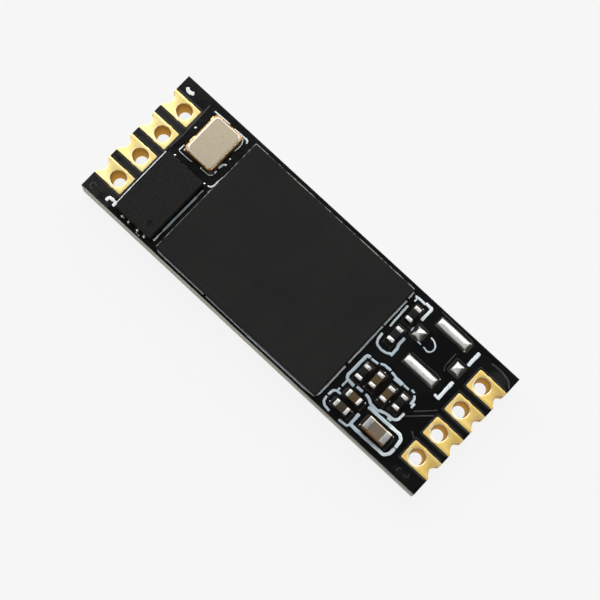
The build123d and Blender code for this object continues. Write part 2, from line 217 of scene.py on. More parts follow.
# In the looks below a grain is given as scale, detail, roughness and, where it is combed, its stretch.
# A name that ends in From holds the two levels between which something fades in.

# how the four contacts of each end stand, which the gold and the mask's ridges follow too
contactRow = {"pitch": 1.778, "count": 4, "holeX": 11.36}
rowMiddle = (contactRow["count"] - 1) / 2
rowPlaces = [(row - rowMiddle) * contactRow["pitch"] for row in range(contactRow["count"])]

maskLook = {
    "colour": (0.0024, 0.0024, 0.0026, 1),
    "overCopper": (0.0210, 0.0210, 0.0200, 1),
    "edge": (0.085, 0.080, 0.068, 1),
    "edgeFrom": (4.305, 4.335),
    "edgeWear": (2.6, 3.0),
    "wearAndHighlightFrom": (0.30, 0.62),
    "stripEnd": (-10.62, 3.42),
    "strip": (1.3, 2.0),
    "stripFrom": (0.20, 0.60),
    "pour": (0.55, 1.0, 0.3),
    "pourFrom": (0.47, 0.50),
    "pourShare": 0.10,
    "pourDepth": 0.006,
    "roughness": 0.10,
    "dulling": (3.0, 3.0, 0.6),
    "dullShare": 0.07,
    "specks": (26.0, 1.0, 0.5),
    "specksFrom": (0.66, 0.80),
    "speckShare": 0.10,
    "weavePitch": 0.30,
    "weaveDepth": 0.0002,
    "peel": (1.1, 2.0, 0.4),
    "peelDepth": 0.0030,
    # centre, reach across and along, and strength of each pale patch of painted sheen, a painted highlight
    # on the mask
    "paintedSheen": [
        (11.75, 3.55, 0.75, 0.55, 0.75),
        (11.30, -3.95, 0.9, 0.30, 0.35),
        (-12.0, -3.7, 0.5, 0.5, 0.5),
    ],
}


def maskFinish(look):
    finish = Finish("blackSolderMask")
    x, y, z = finish.axes()
    weave = x.swing(look["weavePitch"]) * y.swing(look["weavePitch"])
    stripX, stripY = look["stripEnd"]
    strip = x.below(stripX) * y.below(stripY) * finish.grain(*look["strip"]).ease(*look["stripFrom"])
    pour = (finish.grain(*look["pour"]).ease(*look["pourFrom"]) * look["pourShare"]).most(strip)
    # the copper tint, with the pale patches of painted sheen laid over it as a painted highlight
    light = pour
    for cx, cy, across, along, share in look["paintedSheen"]:
        spread = ((x - cx) / across) ** 2 + ((y - cy) / along) ** 2
        light = light.most((1 - spread.ease(0.0, 1.0)) * share)
    edge = y.size().ease(*look["edgeFrom"]) * finish.grain(*look["edgeWear"]).ease(*look["wearAndHighlightFrom"])
    specks = finish.grain(*look["specks"]).ease(*look["specksFrom"])
    finish.set(
        baseColor=finish.blend(edge, finish.blend(light, look["colour"], look["overCopper"]), look["edge"]),
        roughness=finish.dulled(look) + specks * look["speckShare"],
    )
    peel = finish.grain(*look["peel"])
    finish.relief(weave * look["weaveDepth"] + peel * look["peelDepth"] + pour * look["pourDepth"], 1.0)
    return finish.material


# finishes that are two colours in a grain, over a fine relief
ridgeLook = {
    "name": "maskOverTrace",
    "colour": (0.030, 0.030, 0.031, 1),
    "other": (0.008, 0.008, 0.009, 1),
    "grain": (2.2,),
    "grainFrom": (0.3, 0.7),
    "metallic": 0.0,
    "specular": 0.5,
    "roughness": 0.36,
    "dulling": (6.0,),
    "dullShare": 0.1,
    "relief": (8.0, 2.0),
    "depth": 0.002,
}
copperLook = {
    "name": "platedCopper",
    "colour": (0.34, 0.29, 0.21, 1),
    "other": (0.090, 0.075, 0.058, 1),
    "grain": (5.0, 3.0),
    "grainFrom": (0.4, 0.7),
    "metallic": 1.0,
    "specular": 0.5,
    "roughness": 0.38,
    "dulling": (12.0,),
    "dullShare": 0.15,
    "relief": (18.0, 2.0),
    "depth": 0.002,
}
fluxedLook = {
    **copperLook,
    "name": "fluxedCopper",
    "colour": (0.060, 0.050, 0.036, 1),
    "other": (0.018, 0.015, 0.012, 1),
    "roughness": 0.42,
}
giltLook = {
    "name": "giltSealRing",
    "colour": (0.84, 0.53, 0.20, 1),
    "other": (0.26, 0.13, 0.04, 1),
    "grain": (7.0, 3.0),
    "grainFrom": (0.42, 0.66),
    "metallic": 1.0,
    "specular": 0.5,
    "roughness": 0.27,
    "dulling": (15.0,),
    "dullShare": 0.12,
    "relief": (20.0, 2.0),
    "depth": 0.002,
}
ceramicLook = {
    "name": "firedCeramicBase",
    "colour": (0.080, 0.042, 0.016, 1),
    "other": (0.130, 0.074, 0.030, 1),
    "grain": (10.0, 4.0),
    "grainFrom": (0.35, 0.65),
    "metallic": 0.0,
    "specular": 0.5,
    "roughness": 0.5,
    "dulling": (18.0,),
    "dullShare": 0.15,
    "relief": (30.0, 3.0),
    "depth": 0.004,
}
glazeLook = {
    "name": "resistorGlaze",
    "colour": (0.0030, 0.0030, 0.0034, 1),
    "other": (0.0080, 0.0080, 0.0085, 1),
    "grain": (6.0, 3.0),
    "grainFrom": (0.35, 0.65),
    "metallic": 0.0,
    "specular": 0.2,
    "roughness": 0.30,
    "dulling": (11.0,),
    "dullShare": 0.12,
    "relief": (9.0, 2.0),
    "depth": 0.004,
}


def mottledFinish(look):
    finish = Finish(look["name"])
    share = finish.grain(*look["grain"]).ease(*look["grainFrom"])
    finish.set(
        baseColor=finish.blend(share, look["colour"], look["other"]),
        metallic=look["metallic"],
        roughness=finish.dulled(look),
        specularIorLevel=look["specular"],
    )
    finish.relief(finish.grain(*look["relief"]), look["depth"])
    return finish.material


goldLook = {
    "colour": (1.000, 0.740, 0.230, 1),
    "pale": (1.000, 0.880, 0.440, 1),
    "cloud": (1.6, 3.0, 0.5),
    "cloudFrom": (0.35, 0.65),
    "rightEnd": (-6.0, 6.0),  # the contacts of the right end are yellower and more flecked; the paler gold of the left end is a painted reflection of the light
    "yellower": 0.62,
    "fleck": (0.800, 0.500, 0.120, 1),
    "flecks": (24.0, 3.0, 0.7),
    "flecksFrom": (0.44, 0.66),
    "fleckShare": (0.40, 0.85),
    # painted shade: the barrel's gold darkened to brown deep in the hole
    "deep": (0.530, 0.290, 0.060, 1),
    "deepTop": (1.475, 1.575),
    "deepFoot": (0.03, 0.12),
    "tint": (1.000, 0.800, 0.480, 1),
    # painted highlight: a pale colour on the rounded rims of the land and the mouth of the hole
    "paintedRimHighlight": (1.000, 0.950, 0.780, 1),
    "lip": (1.532, 1.583),
    "lipShare": (0.30, 0.85),
    "lipGloss": 0.22,
    # the bright arc round a pin hole, on the side that faces the light
    "arcInner": 0.40,
    "arcOuterFrom": (0.60, 0.56),
    "arcFacing": (-0.5, -0.8),
    "arcFrom": (0.05, 0.30),
    "arcAbove": 1.5,
    "roughness": 0.42,
    "dulling": (9.0, 3.0, 0.6),
    "dullShare": 0.12,
    "relief": (20.0, 3.0, 0.6),
    "depth": 0.0044,
}


def goldFinish(look, row):
    finish = Finish("goldPlate")
    x, y, z = finish.axes()
    # painted shade down the wall of the hole
    holeShade = (1 - z.ease(*look["deepTop"])) * z.ease(*look["deepFoot"])
    rightEnd = x.ease(*look["rightEnd"])
    cloud = finish.grain(*look["cloud"]).ease(*look["cloudFrom"])
    # paler gold towards the left end: a painted reflection of the light it catches
    paler = cloud.span(0.5, 1.0) - rightEnd * look["yellower"]
    flecks = finish.grain(*look["flecks"]).ease(*look["flecksFrom"]) * rightEnd.span(*look["fleckShare"])
    surface = finish.blend(flecks, finish.blend(paler, look["colour"], look["pale"]), look["fleck"])
    lip = z.above(look["lip"][0]) * z.below(look["lip"][1])
    acrossHole = (y + row["pitch"] * row["count"]).cycle(row["pitch"]) - row["pitch"] / 2
    alongHole = x - x.side() * row["holeX"]
    fromHole = (alongHole * alongHole + acrossHole * acrossHole) ** 0.5
    facing = alongHole * look["arcFacing"][0] + acrossHole * look["arcFacing"][1]
    arcRing = fromHole.above(look["arcInner"]) * fromHole.ease(*look["arcOuterFrom"])
    arc = arcRing * facing.ease(*look["arcFrom"]) * z.above(look["arcAbove"])
    # painted highlight on the rims and on the arc, stronger at the right end
    surface = finish.blend(lip.most(arc) * rightEnd.span(*look["lipShare"]), surface, look["paintedRimHighlight"])
    finish.set(
        baseColor=finish.blend(holeShade, surface, look["deep"]),
        metallic=1.0,
        roughness=finish.dulled(look) - lip * look["lipGloss"],
        specularTint=look["tint"],
    )
    finish.relief(finish.grain(*look["relief"]), look["depth"])
    return finish.material


solderLook = {
    "name": "brightSolder",
    "colour": (0.94, 0.94, 0.93, 1),
    "flux": (0.70, 0.66, 0.58, 1),
    "stain": (3.0, 3.0, 0.6),
    "stainFrom": (0.60, 0.80),
    "stainShare": 0.5,
    "roughness": 0.14,
    "dulling": (7.0, 3.0, 0.6),
    "dullShare": 0.16,
    "relief": (4.5, 3.0, 0.5),
    "cells": 11.0,
    "cellShare": 0.25,
    "depth": 0.0016,
}
beadSolderLook = {
    **solderLook,
    "name": "beadSolder",
    "colour": (1.000, 0.960, 0.860, 1),
    "flux": (0.860, 0.780, 0.640, 1),
    "roughness": 0.55,
    "depth": 0.0010,
}
# painted shade: solder painted nearly black for the fillets and the memory chip's contacts
shadePaintedSolderLook = {
    **solderLook,
    "name": "shadePaintedSolder",
    "colour": (0.026, 0.024, 0.021, 1),
    "flux": (0.008, 0.007, 0.006, 1),
    "roughness": 0.32,
    "depth": 0.0060,
}


def solderFinish(look):
    finish = Finish(look["name"])
    stain = finish.grain(*look["stain"]).ease(*look["stainFrom"]) * look["stainShare"]
    finish.set(
        baseColor=finish.blend(stain, look["colour"], look["flux"]),
        metallic=1.0,
        roughness=finish.dulled(look),
    )
    height = finish.grain(*look["relief"]) + finish.cells(look["cells"]) * look["cellShare"]
    finish.relief(height, look["depth"])
    return finish.material


coatLook = {
    "colour": (0.900, 0.895, 0.880, 1),
    "streak": (0.560, 0.550, 0.525, 1),
    # painted shade on the coat's slopes
    "slopeShade": (0.120, 0.112, 0.098, 1),
    "combed": (6.0, 3.0, 0.6, (0.6, 2.4, 1.0)),
    "streakFrom": (0.50, 0.72),
    "levelFrom": (0.74, 0.965),
    "levelUneven": 0.16,
    "levelMetallic": 0.55,
    "roughness": 0.30,
    "dulling": (7.0, 3.0, 0.6),
    "dullShare": 0.14,
    "cells": 11.0,
    "cellShare": 0.2,
    "depth": 0.0024,
}


def coatFinish(look):
    finish = Finish("smoothSolderCoat")
    combed = finish.grain(*look["combed"])
    # level tops are pale and less metallic, painted light; the slopes take the dark slope colour, painted
    # shade
    level = (finish.levelness() + (combed - 0.5) * look["levelUneven"]).ease(*look["levelFrom"])
    top = finish.blend(combed.ease(*look["streakFrom"]), look["colour"], look["streak"])
    finish.set(
        baseColor=finish.blend(level, look["slopeShade"], top),
        metallic=level.span(1.0, look["levelMetallic"]),
        roughness=finish.dulled(look),
    )
    finish.relief(combed + finish.cells(look["cells"]) * look["cellShare"], look["depth"])
    return finish.material


mouldLook = {
    "colour": (0.0078, 0.0078, 0.0073, 1),
    "light": (0.0125, 0.0125, 0.0117, 1),
    # the pale colour of the painted highlight on the bevel
    "edge": (0.270, 0.262, 0.235, 1),
    # the bevel at the left and the back, painted lighter as a painted highlight: its height, and where the
    # moulding's two sides lie
    "edgeAbove": 2.060,
    "edgeX": -7.045,
    "edgeY": 3.975,
    "wear": (2.4, 3.0, 0.6),
    "wearAndHighlightFrom": (0.40, 0.60),
    "cloud": (0.35, 3.0, 0.55),
    "flecks": (19.0, 2.0, 0.6),
    "lightFrom": (0.35, 0.70),
    "specular": 0.17,
    "roughness": 0.62,
    "dulling": (7.0, 2.0),
    "dullShare": 0.12,
    "pits": (45.0, 2.0, 0.6),
    "pitShare": 0.5,
    "depth": 0.0045,
}


def mouldFinish(look):
    finish = Finish("mattBlackMoulding")
    x, y, z = finish.axes()
    flecks = finish.grain(*look["flecks"])
    # painted highlight along the bevel at the left and the back, broken up by a grain
    bevel = z.above(look["edgeAbove"]) * x.below(look["edgeX"]).most(y.above(look["edgeY"]))
    worn = bevel * finish.grain(*look["wear"]).ease(*look["wearAndHighlightFrom"])
    lighter = (finish.grain(*look["cloud"]) * 0.5 + flecks * 0.5).ease(*look["lightFrom"])
    finish.set(
        baseColor=finish.blend(worn, finish.blend(lighter, look["colour"], look["light"]), look["edge"]),
        roughness=finish.dulled(look),
        specularIorLevel=look["specular"],
    )
    finish.relief(flecks + finish.grain(*look["pits"]) * look["pitShare"], look["depth"])
    return finish.material


chipLook = {
    "dark": (0.0012, 0.0012, 0.0012, 1),
    "light": (0.0150, 0.0140, 0.0130, 1),
    "flecks": (24.0, 3.0, 0.6),
    "lightFrom": (0.35, 0.68),
    "dimple": (-8.22, -3.38, 0.175),
    "dimpleRim": 0.80,
    "specular": 0.18,
    "roughness": 0.58,
    "dulling": (5.0,),
    "dullShare": 0.12,
    "depth": 0.0040,
}


def chipFinish(look):
    finish = Finish("chipMoulding")
    x, y, z = finish.axes()
    flecks = finish.grain(*look["flecks"])
    dimpleX, dimpleY, radius = look["dimple"]
    away = ((x - dimpleX) ** 2 + (y - dimpleY) ** 2) ** 0.5
    outside = away.ease(radius * look["dimpleRim"], radius)
    finish.set(
        baseColor=finish.blend(flecks.ease(*look["lightFrom"]) * outside, look["dark"], look["light"]),
        roughness=finish.dulled(look),
        specularIorLevel=look["specular"],
    )
    finish.relief(flecks, look["depth"])
    return finish.material


substrateLook = {
    "colour": (0.030, 0.028, 0.022, 1),
    "light": (0.060, 0.054, 0.040, 1),
    "layer": 0.05,
    "stain": (14.0, 3.0),
    "roughness": 0.5,
    "dulling": (9.0,),
    "dullShare": 0.2,
    "relief": (20.0, 3.0),
    "depth": 0.004,
}


def substrateFinish(look):
    finish = Finish("packageBase")
    layers = finish.axes()[2].layers(look["layer"])
    finish.set(
        baseColor=finish.blend(layers * finish.grain(*look["stain"]), look["colour"], look["light"]),
        roughness=finish.dulled(look),
    )
    finish.relief(finish.grain(*look["relief"]), look["depth"])
    return finish.material


lidLook = {
    "colour": (0.400, 0.338, 0.244, 1),
    "pale": (0.610, 0.530, 0.405, 1),
    # painted highlight: the pale colour of the lid's bevel and sides
    "edge": (0.930, 0.890, 0.790, 1),
    "brush": (26.0, 3.0, 0.75, (1.3, 0.8, 1.0)),
    "flecks": (30.0, 3.0, 0.6),
    "brushShare": 0.6,
    "paleFrom": (0.38, 0.64),
    "topFrom": (2.158, 2.164),
    "metallic": (0.45, 1.0),  # at the sides and on the top, as are the next two
    "roughness": (0.17, 0.34),
    "fleckRoughness": 0.14,
    "fleckShare": 0.6,
    "depth": 0.0016,
}


def lidFinish(look):
    finish = Finish("nickelLid")
    brush = finish.grain(*look["brush"])
    flecks = finish.grain(*look["flecks"])
    onTop = finish.axes()[2].ease(*look["topFrom"])
    paler = (brush * look["brushShare"] + flecks * (1 - look["brushShare"])).ease(*look["paleFrom"])
    # below the top, the lid's bevel and sides are pale and less metallic: painted highlight
    finish.set(
        baseColor=finish.blend(onTop, look["edge"], finish.blend(paler, look["colour"], look["pale"])),
        metallic=onTop.span(*look["metallic"]),
        roughness=onTop.span(*look["roughness"]) + flecks * look["fleckRoughness"],
    )
    finish.relief(brush + flecks * look["fleckShare"], look["depth"])
    return finish.material


# the large capacitor's long edges: a painted highlight on the one that catches the light, painted shade in
# brown on the other
rimLook = {
    "lit": (0.95, 0.84, 0.62, 1),
    "litFrom": (-2.925, -2.885),
    "shadedEdge": (0.250, 0.120, 0.040, 1),
    "shadedEdgeFrom": (-3.600, -3.560),
}


def rimmed(finish, surface, look):
    y = finish.axes()[1]
    # painted highlight on one long edge, painted shade on the other
    lit = finish.blend(y.ease(*look["litFrom"]), surface, look["lit"])
    return finish.blend(1 - y.ease(*look["shadedEdgeFrom"]), lit, look["shadedEdge"])


brownLook = {
    "name": "brownCeramic",
    "colour": (0.036, 0.021, 0.005, 1),
    "light": (0.100, 0.062, 0.019, 1),
    "speckle": (26.0, 3.0, 0.65),
    "combed": (11.0, 2.0, 0.6, (3.5, 0.35, 1.0)),
    "layer": 0.045,
    "mixture": (0.5, 0.4, 0.1),  # of the speckle, the combed grain and the layers
    "lightFrom": (0.30, 0.72),
    "specular": 0.3,
    "roughness": 0.42,
    "dulling": (12.0,),
    "dullShare": 0.16,
    "depth": 0.003,
}
darkBrownLook = {
    **brownLook,
    "name": "darkBrownCeramic",
    "colour": (0.018, 0.012, 0.006, 1),
    "light": (0.042, 0.029, 0.015, 1),
}
greyLook = {
    **brownLook,
    "name": "greyCeramic",
    "colour": (0.105, 0.080, 0.052, 1),
    "light": (0.225, 0.180, 0.130, 1),
    "rims": rimLook,
}


def capacitorFinish(look):
    finish = Finish(look["name"])
    speckle = finish.grain(*look["speckle"])
    layers = finish.axes()[2].layers(look["layer"])
    ofSpeckle, ofCombed, ofLayers = look["mixture"]
    lighter = speckle * ofSpeckle + finish.grain(*look["combed"]) * ofCombed + layers * ofLayers
    surface = finish.blend(lighter.ease(*look["lightFrom"]), look["colour"], look["light"])
    finish.set(
        baseColor=rimmed(finish, surface, look["rims"]) if "rims" in look else surface,
        roughness=finish.dulled(look),
        specularIorLevel=look["specular"],
    )
    finish.relief(speckle, look["depth"])
    return finish.material


tinLook = {
    "name": "tinnedCap",
    "colour": (0.97, 0.96, 0.94, 1),
    "dull": (0.50, 0.49, 0.46, 1),
    # painted shade on the caps' sides and rims
    "side": (0.070, 0.066, 0.058, 1),
    "combed": (7.0, 3.0, 0.65, (2.2, 0.5, 1.0)),
    "dullFrom": (0.42, 0.66),
    "levelFrom": (0.86, 0.97),
    "roughness": 0.36,
    "dulling": (16.0, 3.0),
    "dullShare": 0.16,
    "relief": (10.0, 3.0, 0.6),
    "depth": 0.0030,
}
greyTinLook = {
    **tinLook,
    "name": "greyTinnedCap",
    "colour": (0.50, 0.51, 0.51, 1),
    "dull": (0.36, 0.36, 0.35, 1),
    # painted shade on the sides here too
    "side": (0.20, 0.19, 0.17, 1),
    "levelFrom": (0.50, 0.85),
    "roughness": 0.38,
    "rims": rimLook,
}


def tinFinish(look):
    finish = Finish(look["name"])
    # level tops keep the tin colours; the sides take the side colour as painted shade
    level = finish.levelness().ease(*look["levelFrom"])
    top = finish.blend(finish.grain(*look["combed"]).ease(*look["dullFrom"]), look["colour"], look["dull"])
    surface = finish.blend(level, look["side"], top)
    finish.set(
        baseColor=rimmed(finish, surface, look["rims"]) if "rims" in look else surface,
        metallic=1.0,
        roughness=finish.dulled(look),
    )
    finish.relief(finish.grain(*look["relief"]), look["depth"])
    return finish.material


inkLook = {
    "white": (0.900, 0.915, 0.930, 1),
    "colour": (0.800, 0.865, 0.895, 1),
    "colourFrom": (-7.0, -6.5),
    "blue": (0.480, 0.580, 0.650, 1),  # the strokes among the chip parts
    "blueLeftFrom": (5.3, 5.6),
    "blueRightFrom": (9.3, 9.0),
    "blueBackFrom": (2.6, 2.3),
    "worn": (0.330, 0.410, 0.455, 1),  # darker ink on one upright stroke beside the package, and on the strokes along the front edge
    "tonedX": (-7.60, -7.30),
    "tonedY": (-3.30, 0.15),
    "tonedShare": 0.85,
    "footBelow": -4.00,
    "footFrom": (-9.6, -9.5),
    "footShare": 0.50,
    "thin": (0.500, 0.570, 0.615, 1),
    "cover": (5.5, 3.0, 0.6),
    "thinFrom": (0.50, 0.74),
    "roughness": 0.46,
    "dulling": (20.0,),
    "dullShare": 0.15,
    "relief": (13.0, 3.0, 0.6),
    "depth": 0.006,
}


def inkFinish(look):
    finish = Finish("printedInk")
    x, y, z = finish.axes()
    amongParts = x.ease(*look["blueLeftFrom"]) * x.ease(*look["blueRightFrom"])
    amongParts = amongParts * y.ease(*look["blueBackFrom"])
    ink = finish.blend(x.ease(*look["colourFrom"]), look["white"], look["colour"])
    ink = finish.blend(amongParts, ink, look["blue"])
    # darker ink on one stroke beside the memory chip and on the strokes in front of it
    (tonedLeft, tonedRight), (tonedFront, tonedBack) = look["tonedX"], look["tonedY"]
    tonedRun = x.above(tonedLeft) * x.below(tonedRight) * y.above(tonedFront) * y.below(tonedBack)
    foot = y.below(look["footBelow"]) * x.ease(*look["footFrom"]) * look["footShare"]
    ink = finish.blend((tonedRun * look["tonedShare"]).most(foot), ink, look["worn"])
    finish.set(
        baseColor=finish.blend(finish.grain(*look["cover"]).ease(*look["thinFrom"]), ink, look["thin"]),
        roughness=finish.dulled(look),
    )
    finish.relief(finish.grain(*look["relief"]), look["depth"])
    return finish.material


coreLook = {
    "resin": (0.370, 0.350, 0.285, 1),
    "fibre": (0.520, 0.500, 0.425, 1),
    "dark": (0.055, 0.050, 0.042, 1),
    # the laminate's top and bottom faces, seen in the gaps round the lands: the resin's own dark tone,
    # deepened as painted shade in the narrow gaps
    "face": (0.030, 0.026, 0.018, 1),
    "ply": 0.19,
    "strands": (6.0, 3.0, 0.7, (1.0, 1.0, 5.0)),
    "fibreFrom": (0.30, 0.75),
    # the upper plies darken towards the right end
    "shadeAlong": (-8.0, 10.0),
    "shadeRise": 0.75,
    "shadeUneven": 0.15,
    "shadeFrom": (1.62, 1.92),
    "shadeShare": 0.6,
    "faces": (0.051, 1.549),
    "roughness": 0.62,
    "strandRoughness": 0.18,
    "depth": 0.010,
}


def coreFinish(look):
    finish = Finish("glassEpoxyCore")
    x, y, z = finish.axes()
    ply = z.layers(look["ply"])
    strands = finish.grain(*look["strands"])
    edge = finish.blend((ply * 0.5 + strands * 0.5).ease(*look["fibreFrom"]), look["resin"], look["fibre"])
    height = z + x.ease(*look["shadeAlong"]) * look["shadeRise"] + strands * look["shadeUneven"]
    shade = height.ease(*look["shadeFrom"]) * look["shadeShare"]
    lowFace, highFace = look["faces"]
    onFace = z.above(highFace).most(z.below(lowFace))
    finish.set(
        baseColor=finish.blend(onFace, finish.blend(shade, edge, look["dark"]), look["face"]),
        roughness=look["roughness"] + strands * look["strandRoughness"],
    )
    finish.relief(ply * 0.5 + strands, look["depth"])
    return finish.material


finishes = {
    "solder_mask": maskFinish(maskLook),
    "ridge": mottledFinish(ridgeLook),
    "gold_plate": goldFinish(goldLook, contactRow),
    "copper_land": mottledFinish(copperLook),
    "fluxed_land": mottledFinish(fluxedLook),
    "solder": solderFinish(solderLook),
    "solder_coat": coatFinish(coatLook),
    "bead_solder": solderFinish(beadSolderLook),
    "mould_black": mouldFinish(mouldLook),
    "chip": chipFinish(chipLook),
    "package_base": substrateFinish(substrateLook),
    "crystal_metal": lidFinish(lidLook),
    "gilt_ring": mottledFinish(giltLook),
    "crystal_ceramic": mottledFinish(ceramicLook),
    "resistor_black": mottledFinish(glazeLook),
    "capacitor_brown": capacitorFinish(brownLook),
    "capacitor_dark": capacitorFinish(darkBrownLook),
    "capacitor_grey": capacitorFinish(greyLook),
    "tinned_cap": tinFinish(tinLook),
    "grey_tin": tinFinish(greyTinLook),
    "shade_painted_solder": solderFinish(shadePaintedSolderLook),
    "legend_ink": inkFinish(inkLook),
    "board_core": coreFinish(coreLook),
}
print("finishes ready")


class Shape:
    # collects points and faces in millimetres and becomes one piece
    def __init__(self):
        self.points = []
        self.faces = []

    def put(self, points):
        first = len(self.points)
        self.points += [tuple(p) for p in points]
        return list(range(first, len(self.points)))

    def band(self, low, high, closed=True):
        count = len(low)
        for i in range(count if closed else count - 1):
            j = (i + 1) % count
            self.faces.append((low[i], low[j], high[j], high[i]))

    def stack(self, loops, capped=True):
        rings = [self.put(loop) for loop in loops]
        for low, high in zip(rings, rings[1:]):
            self.band(low, high)
        if capped:
            self.faces += [tuple(reversed(rings[0])), tuple(rings[-1])]
        return rings

    def warp(self, start, amount, scale, seed):
        # small uneven shifts of the points from start on, other ones for each seed
        for i in range(start, len(self.points)):
            p = Vector(self.points[i])
            p += noise.noise_vector(p * scale + Vector((seed, seed * 1.7, 3.1))) * amount
            self.points[i] = tuple(p)

    def piece(self, name, finish, replaced=(), sharp=38):
        mesh = bpy.data.meshes.new(name)
        mesh.from_pydata([(x * mm, y * mm, z * mm) for x, y, z in self.points], [], self.faces)
        work = bmesh.new()
        work.from_mesh(mesh)
        bmesh.ops.recalc_face_normals(work, faces=work.faces)
        work.to_mesh(mesh)
        work.free()
        mesh.polygons.foreach_set("use_smooth", [True] * len(mesh.polygons))
        mesh.set_sharp_from_angle(angle=math.radians(sharp))
        mesh.materials.append(finish)
        made = bpy.data.objects.new(name, mesh)
        bpy.context.scene.collection.objects.link(made)
        shading = made.modifiers.new("even shading", "WEIGHTED_NORMAL")
        shading.keep_sharp = True
        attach(made, "root")
        if replaced:
            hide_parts(*replaced)
        return made


def arcPoints(cx, cy, radius, start, end, steps):
    # points round part of a circle, between two directions in degrees
    turns = [math.radians(start + (end - start) * step / steps) for step in range(steps + 1)]
    return [(cx + radius * math.cos(turn), cy + radius * math.sin(turn)) for turn in turns]


def circleLoop(cx, cy, radius, z, count=40):
    return [(x, y, z) for x, y in arcPoints(cx, cy, radius, 0, 360, count)[:-1]]


def cornerLoop(cx, cy, across, along, corner, z, steps=5):
    # a rectangle with rounded corners
    loop = []
    least = 0.001
    corner = max(min(corner, across / 2 - least, along / 2 - least), least)
    for sx, sy, start in ((1, 1, 0), (-1, 1, 90), (-1, -1, 180), (1, -1, 270)):
        middleX = cx + sx * (across / 2 - corner)
        middleY = cy + sy * (along / 2 - corner)
        loop += [(x, y, z) for x, y in arcPoints(middleX, middleY, corner, start, start + 90, steps)]
    return loop


def softBlock(shape, cx, cy, bottom, across, along, height, corner, rim, steps=5):
    # a block with rounded upright edges and rounded rims
    quarter = [math.radians(90 * step / steps) for step in range(steps + 1)]
    profile = [(rim * (1 - math.sin(turn)), bottom + rim * (1 - math.cos(turn))) for turn in quarter]
    top = bottom + height
    profile += [(rim * (1 - math.cos(turn)), top - rim * (1 - math.sin(turn))) for turn in quarter]
    shape.stack([cornerLoop(cx, cy, across - 2 * inset, along - 2 * inset, corner - inset, z, steps)
                 for inset, z in profile])


def dome(shape, cx, cy, base, radius, height, rows=6, count=20):
    loops = []
    for step in range(rows):
        turn = math.radians(90 * step / rows)
        loops.append(circleLoop(cx, cy, radius * math.cos(turn), base + height * math.sin(turn), count))
    shape.stack(loops)


# the form of a raised line of ink or copper
strokeForm = {
    "step": 0.03,
    "section": [(1.0, 0.0), (0.86, 0.78), (0.45, 1.0)],  # shares of the half width and of the height
    "ends": (0.35, 0.65, 0.86, 0.96, 0.999),  # where the rows of an end lie, as shares of its reach
    "endReach": 0.55,
    "ripple": (3.1, 1.6),  # scale and strength of the sides' waves
    "fineRipple": (9.0, 0.8),
    "sideSeeds": (5.0, 3.0),  # what keeps the two sides' waves apart
}


def smoothLine(points, rounds, closed):
    # a run through the points with eased corners, at even steps
    line = []
    pairs = list(zip(points, points[1:] + points[:1])) if closed else list(zip(points, points[1:]))
    for a, b in pairs:
        a, b = Vector(a), Vector(b)
        count = max(2, int((b - a).length / strokeForm["step"]))
        line += [a.lerp(b, i / count) for i in range(count)]
    if not closed:
        line.append(Vector(points[-1]))
    for _ in range(rounds):
        last = len(line) - 1
        eased = []
        for i, p in enumerate(line):
            if not closed and i in (0, last):
                eased.append(p)
            else:
                eased.append((line[i - 1] + p * 2 + line[(i + 1) % len(line)]) / 4)
        line = eased
    return line


def strokeRun(shape, points, width, base, height, wobble, seed, closed=False, rounds=6):
    # one such line with uneven sides and blunt ends
    form = strokeForm
    line = smoothLine(points, rounds, closed)
    half = width / 2
    spots = []
    count = len(line)
    for i, p in enumerate(line):
        ahead = line[(i + 1) % count] if closed else line[min(i + 1, count - 1)]
        behind = line[i - 1] if closed or i else line[0]
        spots.append((p, (ahead - behind).normalized(), 1.0))
    if not closed:
        caps = [(c * half * form["endReach"], math.sqrt(1 - c ** 4)) for c in form["ends"]]
        first, last = spots[0], spots[-1]
        head = [(first[0] - first[1] * reach, first[1], share) for reach, share in reversed(caps)]
        tail = [(last[0] + last[1] * reach, last[1], share) for reach, share in caps]
        spots = head + spots + tail
    (scale, ripple), (fineScale, fineRipple) = form["ripple"], form["fineRipple"]
    apart, fineApart = form["sideSeeds"]
    rows = []
    for p, along, share in spots:
        side = Vector((-along.y, along.x))
        halves = []
        for sign in (-1, 1):
            broad = noise.noise(Vector((p.x * scale + seed, p.y * scale, sign * apart + seed)))
            fine = noise.noise(Vector((p.x * fineScale, p.y * fineScale + seed, sign * fineApart)))
            reach = half * share * (1 + wobble * (ripple * broad + fineRipple * fine))
            halves.append([
                (*(p + side * sign * reach * out), base + height * up * share)
                for out, up in form["section"]
            ])
        rows.append(halves[0] + halves[1][::-1])
    rings = [shape.put(row) for row in rows]
    for a, b in zip(rings, rings[1:] + rings[:1] if closed else rings[1:]):
        shape.band(a, b)
    if not closed:
        shape.faces += [tuple(reversed(rings[0])), tuple(rings[-1])]


# nodes that stay as they are under a new finish
for name, finish in (
    ("glass_epoxy_board", "board_core"),
    ("solder_mask_top", "solder_mask"),
    ("solder_mask_bottom", "solder_mask"),
    ("component_lands", "fluxed_land"),
    ("connector_lands", "copper_land"),
    ("radar_mould", "mould_black"),
    ("radar_substrate", "package_base"),
    ("radar_solder_joints", "solder"),
    ("memory_chip_body", "chip"),
    ("memory_chip_contacts", "shade_painted_solder"),
    ("crystal_solder", "solder"),
):
    nodes[name].data.materials.clear()
    nodes[name].data.materials.append(finishes[finish])
print("kept nodes dressed")

